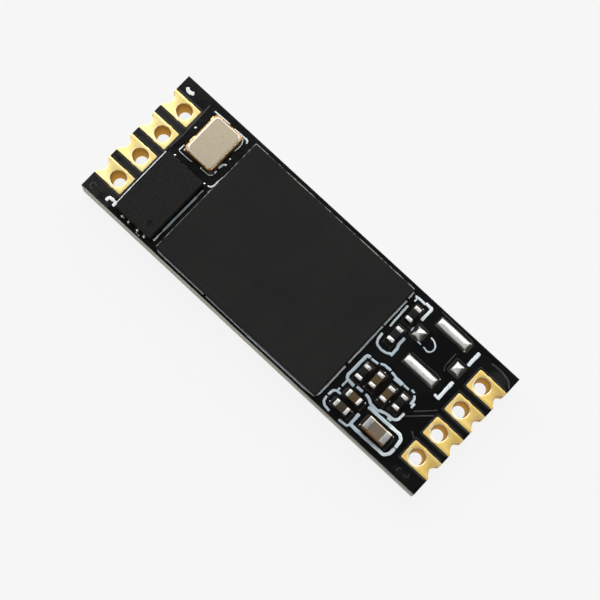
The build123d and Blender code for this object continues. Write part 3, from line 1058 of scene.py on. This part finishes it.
contactShape = {
    "boardHalf": 12.6,
    "length": 1.95,
    "halfWidth": 0.625,
    "corner": 0.08,
    "holeRadius": 0.46,
    "ringRadius": 0.65,
    "knee": 0.6,  # a point of the straight side, this far out from the hole
    "notchRadius": 0.46,
    "notchOutset": 0.16,
    "plating": 0.04,
    "top": 1.585,
    "landFoot": 1.55,
    "middle": 0.80,
    "holeRim": 0.050,
    "narrowing": 0.085,  # of the hole at the underside
    "waist": 0.4,  # the share of it at the middle height
    "notchRim": 0.040,
    "edgeRim": 0.018,
}


def contactOutline(c, holeX):
    # the land of one contact at the right end, with its row at y = 0; True marks the notch
    edge, half, corner = c["boardHalf"], c["halfWidth"], c["corner"]
    swell = math.sqrt(c["ringRadius"] ** 2 - half ** 2)
    spread = math.degrees(math.asin(swell / c["ringRadius"]))
    cornerX, cornerY = edge - c["length"] + corner, half - corner
    points = [(edge, half), (holeX + c["knee"], half)]
    points += arcPoints(holeX, 0, c["ringRadius"], 90 - spread, 90 + spread, 6)
    points += arcPoints(cornerX, cornerY, corner, 90, 180, 5)
    points += arcPoints(cornerX, -cornerY, corner, 180, 270, 5)
    points += arcPoints(holeX, 0, c["ringRadius"], 270 - spread, 270 + spread, 6)
    points += [(holeX + c["knee"], -half), (edge, -half)]
    notchHalf = math.sqrt(c["notchRadius"] ** 2 - c["notchOutset"] ** 2)
    start = math.degrees(math.atan2(notchHalf, -c["notchOutset"]))
    notch = arcPoints(edge + c["notchOutset"], 0, c["notchRadius"], 360 - start, start, 24)
    return [(p, False) for p in points] + [(p, True) for p in notch]


def faceHeight(z, c, under):
    # a height at the upper side, or the like one at the underside
    return 2 * c["middle"] - z if under else z


def landLoops(outline, c, under):
    # from the flat of the land over its rounded rim and down to its foot
    flat = [Vector(p) for p, notch in outline]
    outward = []
    for i in range(len(flat)):
        run = (flat[(i + 1) % len(flat)] - flat[i - 1]).normalized()
        outward.append(Vector((run.y, -run.x)))
    loops = []
    for step in range(6):
        turn = math.radians(90 * step / 5)
        loop = []
        for p, away, (spot, notch) in zip(flat, outward, outline):
            rim = c["notchRim"] if notch else c["edgeRim"]
            q = p - away * rim * (1 - math.sin(turn))
            loop.append((q.x, q.y, faceHeight(c["top"] - rim * (1 - math.cos(turn)), c, under)))
        loops.append(loop)
    loops.append([(x, y, faceHeight(c["landFoot"], c, under)) for x, y, z in loops[-1]])
    return loops


def holeLoops(holeX, c, under):
    # from the rounded mouth of the hole down to the board's middle
    narrowed = c["narrowing"] if under else 0
    loops = []
    for step in range(7):
        turn = math.radians(90 * step / 6)
        radius = c["holeRadius"] + c["holeRim"] * (1 - math.sin(turn)) - narrowed
        z = faceHeight(c["top"] - c["holeRim"] * (1 - math.cos(turn)), c, under)
        loops.append(circleLoop(holeX, 0, radius, z))
    loops.append(circleLoop(holeX, 0, c["holeRadius"] - c["narrowing"] * c["waist"], c["middle"]))
    return loops


def makeContact(name, end, rowY, holeX, c):
    # both lands, the hole's barrel and the notch's wall, as one piece of metal
    shape = Shape()
    outline = contactOutline(c, holeX)
    for under in (False, True):
        land = landLoops(outline, c, under)
        landRings = shape.stack(land, False)
        foot = landRings[-1]
        deep = shape.put([(x, y, c["middle"]) for x, y, z in land[-1]])
        for i in range(len(outline) - 1):
            if outline[i][1] and outline[i + 1][1]:
                shape.faces.append((foot[i], foot[i + 1], deep[i + 1], deep[i]))
        hole = holeLoops(holeX, c, under)
        lookup = landRings[0] + shape.stack(hole, False)[0]
        for triangle in tessellate_polygon([[Vector(p) for p in land[0]], [Vector(p) for p in hole[0]]]):
            shape.faces.append(tuple(lookup[i] for i in triangle))
    # the wall's thickness, seen at the board's edge
    inner = math.sqrt(c["notchRadius"] ** 2 - c["notchOutset"] ** 2)
    outer = math.sqrt((c["notchRadius"] + c["plating"]) ** 2 - c["notchOutset"] ** 2)
    low, high = 2 * c["middle"] - c["landFoot"], c["landFoot"]
    for side in (-1, 1):
        shape.faces.append(tuple(shape.put([
            (c["boardHalf"], side * inner, low), (c["boardHalf"], side * outer, low),
            (c["boardHalf"], side * outer, high), (c["boardHalf"], side * inner, high),
        ])))
    shape.points = [(end * x, rowY + y, z) for x, y, z in shape.points]
    return shape.piece(name, finishes["gold_plate"], (name,), sharp=50)


number = 0
for end in (-1, 1):
    for rowY in rowPlaces:
        number += 1
        makeContact(f"edge_contact_{number}", end, rowY, contactRow["holeX"], contactShape)
print("edge contacts made")

# lines of copper that stand up a little under the mask
ridgeRuns = {
    "base": 1.5985,
    # points, width and height
    "open": [
        ([(-10.55, 3.91), (-10.50, 2.53), (-10.48, 1.48), (-10.53, 0.63)], 0.09, 0.003),
        ([(9.38, -1.48), (10.48, -0.40)], 0.08, 0.007),
        ([(9.52, -0.98), (10.42, -0.06)], 0.07, 0.005),
        ([(9.07, 2.98), (9.08, 2.06), (9.23, 1.82)], 0.06, 0.008),
        ([(6.95, 4.19), (8.12, 4.15), (9.28, 4.13), (9.47, 3.98), (9.44, 3.40)], 0.05, 0.018),
        ([(7.22, 1.38), (8.12, 1.37), (8.98, 1.42), (9.38, 1.36)], 0.05, 0.018),
        ([(10.92, 3.94), (11.60, 3.98), (12.20, 3.86), (12.50, 3.58)], 0.12, 0.004),
        ([(10.20, -1.86), (10.48, -2.05)], 0.08, 0.008),
        ([(-11.96, -3.82), (-12.12, -3.74), (-12.28, -3.88), (-12.22, -4.06), (-12.04, -4.10)], 0.07, 0.003),
        ([(11.02, -4.04), (10.98, -3.86), (11.12, -3.76)], 0.06, 0.002),
        ([(11.46, -3.90), (11.62, -3.96), (11.74, -3.82), (11.66, -3.68)], 0.06, 0.002),
    ],
    "openWobble": 0.06,
    "openSeed": 2.3,
    # centre, length across and along, and width
    "round": [(6.80, 2.43, 0.78, 0.86, 0.04), (9.68, 2.43, 0.80, 0.88, 0.04)],
    "roundCorner": 0.10,
    "roundHeight": 0.006,
    "roundWobble": 0.08,
    # the line round each contact: its two ends in x, half its height, and its own width and height
    "contactX": (12.45, 10.56),
    "contactHalf": 0.72,
    "contactWidth": 0.04,
    "contactHeight": 0.0022,
    "contactWobble": 0.05,
    "contactSeed": 1.1,
}


def makeRidges(look):
    shape = Shape()
    base = look["base"]
    for i, (points, width, height) in enumerate(look["open"]):
        strokeRun(shape, points, width, base, height, look["openWobble"], i * look["openSeed"])
    for cx, cy, across, along, width in look["round"]:
        loop = [(x, y) for x, y, z in cornerLoop(cx, cy, across, along, look["roundCorner"], 0, 3)]
        strokeRun(shape, loop, width, base, look["roundHeight"], look["roundWobble"], cx,
                  closed=True, rounds=2)
    (outX, inX), half = look["contactX"], look["contactHalf"]
    for end in (-1, 1):
        for row, y in enumerate(rowPlaces):
            corners = ((outX, half), (inX, half), (inX, -half), (outX, -half))
            points = [(end * x, y + rise) for x, rise in corners]
            strokeRun(shape, points, look["contactWidth"], base, look["contactHeight"],
                      look["contactWobble"], row * look["contactSeed"], rounds=3)
    return shape.piece("mask_over_traces", finishes["ridge"], sharp=60)


makeRidges(ridgeRuns)
print("mask ridges made")

# the printed legend, each stroke with its points and its width
legendInk = {"base": 1.599, "height": 0.021, "lift": 0.0004, "wobble": 0.15, "seed": 1.37}

leftStrokes = [
    ([(-10.10, 3.85), (-9.55, 3.88), (-9.00, 3.89)], 0.085),
    ([(-8.60, 3.86), (-7.60, 3.89), (-7.55, 3.73)], 0.100),
    ([(-7.84, 3.71), (-7.76, 3.62), (-7.70, 3.43), (-7.69, 3.19), (-7.74, 2.95)], 0.065),
    ([(-10.03, 1.24), (-10.03, 0.86)], 0.075),
    ([(-9.98, 0.82), (-9.41, 0.81), (-9.04, 0.85)], 0.045),
    ([(-8.30, 0.92), (-7.89, 0.93), (-7.72, 0.98), (-7.67, 1.14)], 0.045),
    ([(-7.67, 1.24), (-7.67, 1.38)], 0.085),
    ([(-7.70, 1.63), (-7.68, 1.86), (-7.63, 1.98), (-7.52, 2.03)], 0.115),
    ([(-7.42, 0.46), (-7.24, 0.52), (-7.19, 0.80), (-7.18, 1.08)], 0.105),
    ([(-7.17, 1.10), (-7.16, 1.38)], 0.060),
    ([(-7.17, 0.36), (-7.17, 0.16)], 0.035),
    ([(-10.51, 0.28), (-10.50, -2.00), (-10.47, -3.70)], 0.065),
    ([(-7.46, 0.07), (-7.46, -0.42)], 0.065),
    ([(-7.46, -0.46), (-7.48, -3.10)], 0.135),
    ([(-7.48, -3.16), (-7.48, -3.50)], 0.075),
    ([(-7.48, -3.52), (-7.47, -3.86)], 0.120),
    ([(-12.15, 3.79), (-12.08, 3.70), (-11.93, 3.685), (-11.80, 3.70), (-11.71, 3.76)], 0.220),
    ([(-10.98, -4.00), (-10.97, -3.78), (-10.74, -3.76)], 0.200),
    ([(-10.84, -3.75), (-10.50, -3.76)], 0.160),
    ([(-10.50, -3.74), (-10.49, -3.98)], 0.170),
    ([(-10.32, -3.83), (-10.27, -3.84)], 0.09),
    ([(-9.60, -4.06), (-9.55, -4.06)], 0.06),
    ([(-8.52, -4.20), (-8.44, -4.22)], 0.06),
    ([(-8.34, -4.22), (-8.25, -4.24)], 0.06),
]

radarStrokes = [
    ([(5.02, 3.90), (5.05, 3.50)], 0.12),
    ([(5.08, 3.28), (5.07, 2.30), (5.06, 1.46)], 0.11),
    ([(5.06, 1.30), (5.07, -0.30), (5.07, -1.44)], 0.11),
    ([(5.07, -1.74), (5.07, -3.20), (5.05, -3.86), (4.92, -4.09), (4.20, -4.15), (0.0, -4.17)], 0.11),
    ([(-0.05, -4.17), (-3.20, -4.16)], 0.065),
    ([(-3.40, -4.16), (-6.60, -4.15), (-6.86, -4.13), (-6.99, -4.06)], 0.080),
]

rightStrokes = [
    ([(5.28, 3.84), (5.50, 3.87), (5.96, 3.87)], 0.14),
    ([(5.40, 3.84), (5.42, 3.60)], 0.11),
    ([(5.98, 3.93), (6.42, 3.93), (6.42, 3.10)], 0.19),
    ([(5.31, 3.12), (5.33, 2.40), (5.36, 1.64)], 0.13),
    ([(5.32, 1.02), (5.36, 0.62), (5.52, 0.38), (5.90, 0.31), (6.22, 0.36), (6.42, 0.50)], 0.15),
    ([(6.40, 1.64), (6.40, 1.18), (6.50, 0.96), (6.50, 0.46)], 0.18),
    ([(6.37, 2.46), (6.37, 2.26)], 0.08),
    ([(7.07, 2.03), (7.28, 2.03)], 0.08),
    (
        [(7.48, 2.70), (7.74, 2.67), (7.98, 2.50), (8.05, 2.28), (7.98, 2.08), (7.82, 1.97), (7.52, 2.02)],
        0.085,
    ),
    ([(10.00, 3.86), (10.00, 3.00)], 0.22),
    ([(10.00, 1.66), (10.00, 0.46)], 0.21),
    ([(9.96, 0.48), (9.74, 0.50)], 0.15),
    ([(5.72, -0.42), (5.55, -0.43), (5.53, -1.20), (5.49, -1.95), (5.60, -2.15), (6.12, -2.20)], 0.19),
    ([(5.88, -0.43), (6.28, -0.39)], 0.15),
    ([(6.44, -0.28), (6.62, -0.18), (7.04, -0.18)], 0.15),
    ([(7.20, -0.22), (7.60, -0.27), (8.06, -0.28)], 0.15),
    ([(7.54, -0.38), (8.02, -0.37)], 0.16),
    ([(8.17, -0.28), (8.48, -0.28)], 0.13),
    ([(8.66, -0.19), (8.84, -0.20)], 0.13),
    ([(8.98, -0.34), (9.10, -0.46), (9.12, -0.80)], 0.15),
    ([(9.27, -0.66), (9.28, -0.90)], 0.15),
    ([(9.21, -1.46), (9.19, -1.92), (9.02, -2.08), (8.46, -2.11), (8.10, -2.24)], 0.17),
    ([(6.34, -2.12), (6.70, -2.12)], 0.15),
    ([(6.98, -2.10), (7.26, -2.15), (7.52, -2.30), (8.10, -2.32)], 0.16),
    ([(7.58, -2.50), (9.80, -2.44), (10.06, -2.60), (10.12, -3.10)], 0.20),
    ([(10.12, -3.26), (10.10, -3.60), (9.92, -3.88), (7.44, -3.90), (7.42, -3.18)], 0.20),
    ([(7.43, -3.94), (7.36, -4.10), (6.84, -4.12)], 0.15),
    ([(8.74, -2.20), (8.92, -2.20)], 0.19),
    ([(5.69, -2.26), (5.68, -2.62)], 0.12),
    ([(5.68, -2.84), (5.68, -2.92)], 0.13),
    ([(5.90, -3.03), (5.62, -3.04), (5.48, -3.20), (5.45, -3.48)], 0.15),
    ([(5.46, -3.66), (5.50, -3.94), (5.70, -4.10), (6.08, -4.13)], 0.14),
]


def makeLegend(name, strokes, ink):
    shape = Shape()
    for i, (points, width) in enumerate(strokes):
        height = ink["height"] + ink["lift"] * (i % 5)
        strokeRun(shape, points, width, ink["base"], height, ink["wobble"], i * ink["seed"])
    return shape.piece(name, finishes["legend_ink"], (name,), sharp=60)


makeLegend("legend_left", leftStrokes, legendInk)
makeLegend("legend_radar", radarStrokes, legendInk)
makeLegend("legend_right", rightStrokes, legendInk)
print("legend printed")

coatShape = {
    "base": 1.585,
    "sunk": 0.010,
    "height": 0.138,
    "corner": 3.4,
    "nip": 0.10,
    "seed": 7.0,
    # powers and shares of the rise across and along a coat, and how far its crest lies off the middle
    "long": {
        "x": (11.0, 0.60),
        "y": (2.3, 0.85),
        "crest": (0.0, -0.06),
        "uneven": 0.012,
        "patch": 2.0,
        "grid": (60, 26),
    },
    "short": {
        "x": (2.3, 0.90),
        "y": (2.6, 0.95),
        "crest": (0.05, -0.10),
        "uneven": 0.050,
        "patch": 3.4,
        "grid": (28, 28),
    },
    # centre, length across and along, and form
    "places": [
        (8.23, 3.72, 2.20, 0.60, "long"),
        (8.25, 0.95, 2.20, 0.60, "long"),
        (6.80, 2.43, 0.56, 0.64, "short"),
        (9.68, 2.43, 0.56, 0.64, "short"),
    ],
}


def crested(share, crest, power, fall):
    # height from 0 at the rims to 1 at the crest
    away = (share - crest) / (1 - crest) if share > crest else (crest - share) / (1 + crest)
    return (1 - min(away, 1) ** power) ** fall


def makeCoats(look):
    # each coat is a cushion: a grid drawn in from a square to a soft rectangle, higher along its crest
    shape = Shape()
    for i, (cx, cy, across, along, kind) in enumerate(look["places"]):
        form = look[kind]
        columns, rows = form["grid"]
        grid = []
        for c in range(columns + 1):
            u = math.sin(math.pi / 2 * (2 * c / columns - 1))
            column = []
            for r in range(rows + 1):
                v = math.sin(math.pi / 2 * (2 * r / rows - 1))
                nip = (abs(u) ** look["corner"] * abs(v) ** look["corner"]) * look["nip"]
                rise = crested(u, form["crest"][0], *form["x"]) * crested(v, form["crest"][1], *form["y"])
                x = cx + u * across / 2 * (1 - nip * along / across)
                y = cy + v * along / 2 * (1 - nip)
                p = Vector((x, y, look["base"] + look["height"] * rise))
                spot = Vector((p.x, p.y, i * look["seed"])) * form["patch"]
                p.z += form["uneven"] * rise * noise.noise(spot)
                column.append(p)
            grid.append(shape.put(column))
        for a, b in zip(grid, grid[1:]):
            shape.band(a, b, closed=False)
        # a short wall into the land and a flat underside, round the border of the grid
        border = grid[0] + [column[-1] for column in grid[1:-1]] + grid[-1][::-1]
        border += [column[0] for column in grid[-2:0:-1]]
        foot = shape.put([(*shape.points[k][:2], look["base"] - look["sunk"]) for k in border])
        shape.band(border, foot)
        shape.faces.append(tuple(foot))
    name = "connector_solder_coats"
    return shape.piece(name, finishes["solder_coat"], (name,), sharp=80)


makeCoats(coatShape)

viaShape = {
    "base": 1.598,
    "radius": 0.064,
    "height": 0.026,
    "places": [(-10.25, 2.41), (-7.61, 2.41), (-8.39, 0.94), (-9.99, 0.47), (-7.66, 0.42)],
}


def makeVias(look):
    shape = Shape()
    for cx, cy in look["places"]:
        dome(shape, cx, cy, look["base"], look["radius"], look["height"])
    return shape.piece("filled_vias", finishes["solder"], ("filled_vias",), sharp=70)


makeVias(viaShape)
print("solder coats and vias made")

crystalShape = {
    "centre": (-8.83, 2.41),
    "size": (2.08, 2.76),
    "corner": 0.26,
    "base": (1.625, 1.925),
    "baseRim": 0.02,
    "ring": (1.925, 2.055),
    "ringStep": 0.02,
    "ringRim": 0.03,
    "lid": (2.055, 2.165),
    "lidStep": 0.100,
    "lidFoot": (0.015, 0.028),  # the rim at its foot, and where the bevel starts
    "bevel": 0.085,
    "topShift": (0.010, 0.016),
    # the gilt terminals at the left side: their reaches along the side, then their form
    "terminals": [(3.30, 3.58), (1.60, 2.00)],
    "terminalOut": 0.020,
    "terminalBottom": 1.60,
    "terminalSize": (0.13, 0.20),
    "terminalRound": (0.04, 0.03),
    "terminalWarp": (0.008, 5.0, 4.0),
}


def makeCrystal(c):
    cx, cy = c["centre"]
    across, along = c["size"]
    low, high = c["base"]
    base = Shape()
    softBlock(base, cx, cy, low, across, along, high - low, c["corner"], c["baseRim"], 6)
    base.piece("crystal_base", finishes["crystal_ceramic"], ("crystal_base",))

    ring = Shape()
    step = c["ringStep"]
    low, high = c["ring"]
    ringAcross, ringAlong = across - 2 * step, along - 2 * step
    softBlock(ring, cx, cy, low, ringAcross, ringAlong, high - low, c["corner"] - step, c["ringRim"], 6)
    ring.piece("crystal_seal_ring", finishes["gilt_ring"], ("crystal_seal_ring",))

    lid = Shape()
    low, high = c["lid"]
    bevel, (shiftX, shiftY), (rim, wall) = c["bevel"], c["topShift"], c["lidFoot"]
    loops = []
    for inset, z in ((rim, low), (0.0, low + rim), (0.0, low + wall), (bevel, high)):
        share = min(inset / bevel, 1)
        drawnIn = 2 * (c["lidStep"] + inset)
        loops.append(cornerLoop(cx + shiftX * share, cy + shiftY * share, across - drawnIn,
                                along - drawnIn, c["corner"] - inset / 2, z, 8))
    lid.stack(loops)
    lid.piece("crystal_lid", finishes["crystal_metal"], ("crystal_lid",), sharp=30)

    terminals = Shape()
    x = cx - across / 2 - c["terminalOut"]
    terminalAcross, terminalHeight = c["terminalSize"]
    for front, back in c["terminals"]:
        softBlock(terminals, x, (front + back) / 2, c["terminalBottom"], terminalAcross, back - front,
                  terminalHeight, *c["terminalRound"], 4)
    terminals.warp(0, *c["terminalWarp"])
    terminals.piece("crystal_side_terminals", finishes["gold_plate"])


makeCrystal(crystalShape)
print("crystal made")

# centre, direction and kind of each chip part
chipParts = {
    "resistor_1": (5.87, 2.95, "Y", "resistor"),
    "resistor_2": (5.89, 1.42, "Y", "resistor"),
    "resistor_3": (6.03, -1.33, "Y", "resistor"),
    "resistor_4": (8.63, -1.17, "Y", "rounderResistor"),
    "capacitor_1": (6.87, -1.17, "Y", "capacitor"),
    "capacitor_2": (7.82, -1.33, "Y", "capacitor"),
    "capacitor_3": (6.61, -2.72, "X", "capacitor"),
    "capacitor_4": (6.47, -3.57, "X", "darkCapacitor"),
    "capacitor_5": (8.77, -3.24, "X", "large"),
}

resistorKind = {
    "size": (1.00, 0.50, 0.35),
    "capLength": 0.25,
    "sideRim": 0.070,  # rounding of the caps along the part's sides
    "bodyRim": 0.025,
    "body": "resistor_black",
    "slot": "resistor_black",
    "caps": "tinned_cap",
}
capacitorKind = {
    **resistorKind,
    "size": (1.00, 0.50, 0.50),
    "sideRim": 0.075,
    "body": "capacitor_brown",
    "slot": "capacitor_brown",
}
partKinds = {
    "resistor": resistorKind,
    "rounderResistor": {**resistorKind, "sideRim": 0.080},
    "capacitor": capacitorKind,
    "darkCapacitor": {**capacitorKind, "body": "capacitor_dark"},
    "large": {
        "size": (1.60, 0.80, 0.80),
        "capLength": 0.38,
        "sideRim": 0.060,
        "bodyRim": 0.05,
        "body": "capacitor_grey",
        "slot": "capacitor_grey",
        "caps": "grey_tin",
    },
}

partFit = {
    "bottom": 1.605,
    "skin": 0.02,  # how far a body lies inside its caps
    "bodyCorner": 0.03,
    "capCorner": 0.05,
    "lowRim": 0.02,
    "outerRim": 0.05,
    "innerRim": 0.015,
    "capWarp": (0.004, 4.0),
    "capSeed": 2.9,
}
filletShape = {
    "land": 1.585,
    "tuck": 0.012,  # how far it starts inside the cap
    "reach": 0.16,
    "sideReach": 0.55,  # share of the reach that is left at the sides
    "climb": 0.50,
    "lift": 0.010,
    "spread": 0.04,
    "warp": (0.006, 5.0),
    "seed": 1.9,
}


def turnTo(shape, start, cx, cy, direction):
    for i in range(start, len(shape.points)):
        x, y, z = shape.points[i]
        if direction == "Y":
            x, y = -y, x
        shape.points[i] = (cx + x, cy + y, z)


def endCap(shape, side, form, fit):
    # a terminal whose top is rounded most along the part's sides
    length, width, height = form["size"]
    loops = []
    for step in range(13):
        lower = step < 6
        turn = math.radians(15 * (step if lower else 12 - step))
        rim = fit["lowRim"] if lower else form["sideRim"]
        inset = rim * (1 - math.sin(turn))
        rise = rim * (1 - math.cos(turn))
        share = inset / rim
        outer = length / 2 - share * (fit["lowRim"] if lower else fit["outerRim"])
        inner = length / 2 - form["capLength"] + share * fit["innerRim"]
        z = fit["bottom"] + (rise if lower else height - rise)
        middle, across = side * (outer + inner) / 2, outer - inner
        loops.append(cornerLoop(middle, 0, across, width - 2 * inset, fit["capCorner"], z, 4))
    shape.stack(loops)


def solderFillet(shape, side, size, look):
    # a hollow run of solder from the land up the end of a part
    length, width, height = size
    tuck, climb, spread = look["tuck"], look["climb"] * height, look["spread"]
    rows = []
    for step in range(10):
        turn = math.radians(90 * step / 9)
        row = []
        for k in range(13):
            v = (k - 6) / 6
            crown = 1 - abs(v) ** 4
            out = (look["reach"] + tuck) * (1 - math.sin(turn))
            x = length / 2 - tuck + out * (look["sideReach"] + (1 - look["sideReach"]) * crown)
            y = v * width / 2 * (1 + spread - spread * math.sin(turn))
            z = look["land"] + look["lift"] * crown + climb * (1 - math.cos(turn)) * crown ** 0.5
            row.append((side * x, y, z))
        rows.append(shape.put(row))
    for a, b in zip(rows, rows[1:]):
        shape.band(a, b, closed=False)


def makeChipParts(parts, kinds, fit, filletLook):
    fillets = Shape()
    for i, (name, (cx, cy, direction, kind)) in enumerate(parts.items()):
        form = kinds[kind]
        skin = fit["skin"]
        inside = [length - 2 * skin for length in form["size"]]
        body = Shape()
        softBlock(body, 0, 0, fit["bottom"] + skin, *inside, fit["bodyCorner"], form["bodyRim"])
        turnTo(body, 0, cx, cy, direction)
        body.piece(f"{name}_body", finishes[form["body"]], (f"{name}_body",))
        caps = Shape()
        start = len(fillets.points)
        for side in (-1, 1):
            endCap(caps, side, form, fit)
            solderFillet(fillets, side, form["size"], filletLook)
        turnTo(caps, 0, cx, cy, direction)
        caps.warp(0, *fit["capWarp"], i * fit["capSeed"])
        caps.piece(f"{name}_end_caps", finishes[form["caps"]], (f"{name}_end_caps",), sharp=60)
        turnTo(fillets, start, cx, cy, direction)
        fillets.warp(start, *filletLook["warp"], i * filletLook["seed"])
    fillets.piece("chip_part_solder", finishes["shade_painted_solder"], ("chip_part_solder",), sharp=70)


makeChipParts(chipParts, partKinds, partFit, filletShape)

# bright spots of solder on the fillets, which are painted dark as painted shade
solderSpots = {
    "base": 1.59,
    "warp": (0.010, 6.0),
    "seed": 1.3,
    # place, radius and height
    "spots": [
        (6.06, 3.56, 0.05, 0.12), (7.10, 2.68, 0.05, 0.10), (9.38, 1.32, 0.04, 0.06),
        (9.32, 3.96, 0.04, 0.06), (9.31, 3.38, 0.04, 0.06), (7.27, -2.48, 0.06, 0.10),
        (7.04, -3.33, 0.05, 0.14), (5.77, -3.73, 0.05, 0.12), (7.62, -1.90, 0.05, 0.12),
        (8.18, -1.50, 0.05, 0.12), (7.86, -3.55, 0.06, 0.12), (6.92, -0.50, 0.06, 0.12),
        (8.02, -0.71, 0.05, 0.12), (5.86, -0.75, 0.05, 0.10), (6.57, -1.85, 0.05, 0.10),
        (9.66, -2.80, 0.05, 0.12),
    ],
}


def makeSpots(look):
    shape = Shape()
    for i, (x, y, radius, height) in enumerate(look["spots"]):
        start = len(shape.points)
        dome(shape, x, y, look["base"], radius, height, 5, 14)
        shape.warp(start, *look["warp"], i * look["seed"])
    return shape.piece("solder_spots", finishes["solder"], sharp=70)


makeSpots(solderSpots)
print("chip parts made")

# beads of solder at the ends of the memory chip's contacts, each with its place in x and its radius
beadShape = {
    "front": [(-9.69, 0.085), (-9.21, 0.075), (-8.54, 0.090), (-8.01, 0.095)],
    "back": [(-9.78, 0.07), (-9.22, 0.06), (-8.66, 0.06), (-8.10, 0.07)],
    "ends": (-4.065, 0.27),
    "land": 1.585,
    "rise": 0.9,
    "warp": (0.012, 5.0),
    "seed": 2.2,
}


def makeBeads(look):
    shape = Shape()
    for y, row in zip(look["ends"], (look["front"], look["back"])):
        for k, (x, radius) in enumerate(row):
            start = len(shape.points)
            dome(shape, x, y, look["land"], radius, radius * look["rise"], 7, 18)
            shape.warp(start, *look["warp"], k * look["seed"] + y)
    name = "memory_chip_solder"
    return shape.piece(name, finishes["bead_solder"], (name,), sharp=70)


makeBeads(beadShape)
print("chip solder made")

# the table, and the light round it: a panel at the back left, a low band all round and a wall at the front
studio = {
    "table": (0.93, 0.93, 0.93, 1),
    "tableHalf": 1.5,  # in metres, as is the next
    "tableDrop": 0.00002,
    "tableRoughness": 0.85,
    "tableSpecular": 0.1,
    "white": (1, 1, 1, 1),
    "tableSeen": 0.925,
    "seenShare": 0.94,
    "dim": 0.075,
    "panel": 2.9,
    "panelSide": (-0.60, 0.80, 0.0),
    "panelFrom": (0.28, 0.40),
    "panelEnd": (0.78, 0.92),
    "panelLeast": 0.22,
    "low": 1.0,
    "lowTop": (0.18, 0.28),
    "lowSide": (-0.75, -0.66, 0.0),
    "lowSideFrom": (-0.50, 0.40),
    "lowLeast": 0.45,
    "wall": 0.50,
    "wallSide": (0.0, -1.0, 0.0),
    "wallFrom": (0.20, 0.45),
}


def makeTable(look):
    mesh = bpy.data.meshes.new("table")
    r = look["tableHalf"]
    mesh.from_pydata([(-r, -r, 0), (r, -r, 0), (r, r, 0), (-r, r, 0)], [], [(0, 1, 2, 3)])
    table = bpy.data.objects.new("table", mesh)
    table.location = (0, 0, -look["tableDrop"])
    bpy.context.scene.collection.objects.link(table)
    finish = Finish("paleTable")
    finish.set(
        baseColor=look["table"],
        roughness=look["tableRoughness"],
        specularIorLevel=look["tableSpecular"],
    )
    glow = finish.add("ShaderNodeEmission", None, {"Color": look["white"], "Strength": look["tableSeen"]})
    rays = finish.add("ShaderNodeLightPath", out="Is Camera Ray")
    glossy = Value(finish, rays.socket.node.outputs["Is Glossy Ray"])
    seen = rays.most(glossy) * look["seenShare"]
    shader = Value(finish, finish.shader.outputs[0])
    mixed = finish.add("ShaderNodeMixShader", None, {0: seen, 1: shader, 2: glow})
    finish.feed(finish.tree.nodes["Material Output"].inputs["Surface"], mixed)
    mesh.materials.append(finish.material)


class Sky(Finish):
    # the world's node tree, fed in the same way as a material's
    def __init__(self, tree):
        self.tree = tree
        self.aim = self.add("ShaderNodeTexCoord", out="Generated")

    def toward(self, direction):
        # 1 where the sky lies straight in a direction, 0 at right angles to it
        sockets = {0: self.aim, 1: direction}
        return self.add("ShaderNodeVectorMath", {"operation": "DOT_PRODUCT"}, sockets, "Value")


def makeSky(look):
    world = bpy.data.worlds.new("studioSky")
    bpy.context.scene.world = world
    world.use_nodes = True
    sky = Sky(world.node_tree)
    side = sky.toward(look["panelSide"])
    fade = side.ease(*look["panelEnd"]).span(1.0, look["panelLeast"])
    panel = side.ease(*look["panelFrom"]) * fade * look["panel"]
    ring = (1 - sky.toward((0, 0, 1)).ease(*look["lowTop"])) * look["low"]
    low = ring * sky.toward(look["lowSide"]).ease(*look["lowSideFrom"]).span(look["lowLeast"], 1.0)
    wall = sky.toward(look["wallSide"]).ease(*look["wallFrom"]) * look["wall"]
    level = panel.most(low).most(wall).most(look["dim"])
    seen = sky.add("ShaderNodeLightPath", out="Is Camera Ray")
    background = world.node_tree.nodes["Background"]
    sky.feed(background.inputs["Color"], look["white"])
    sky.feed(background.inputs["Strength"], level * (1 - seen) + seen * look["tableSeen"])


softLamp = {"place": (-0.30, 0.40, 0.34), "size": 0.25, "power": 0.15}  # in metres and watts


def makeLamp(look):
    data = bpy.data.lights.new("softLamp", "AREA")
    data.size = look["size"]
    data.energy = look["power"]
    lamp = bpy.data.objects.new("softLamp", data)
    lamp.location = look["place"]
    lamp.rotation_euler = Vector(look["place"]).to_track_quat("Z", "Y").to_euler()
    bpy.context.scene.collection.objects.link(lamp)


makeTable(studio)
makeSky(studio)
makeLamp(softLamp)
bpy.context.scene.view_settings.view_transform = "Standard"
print("table and light ready")
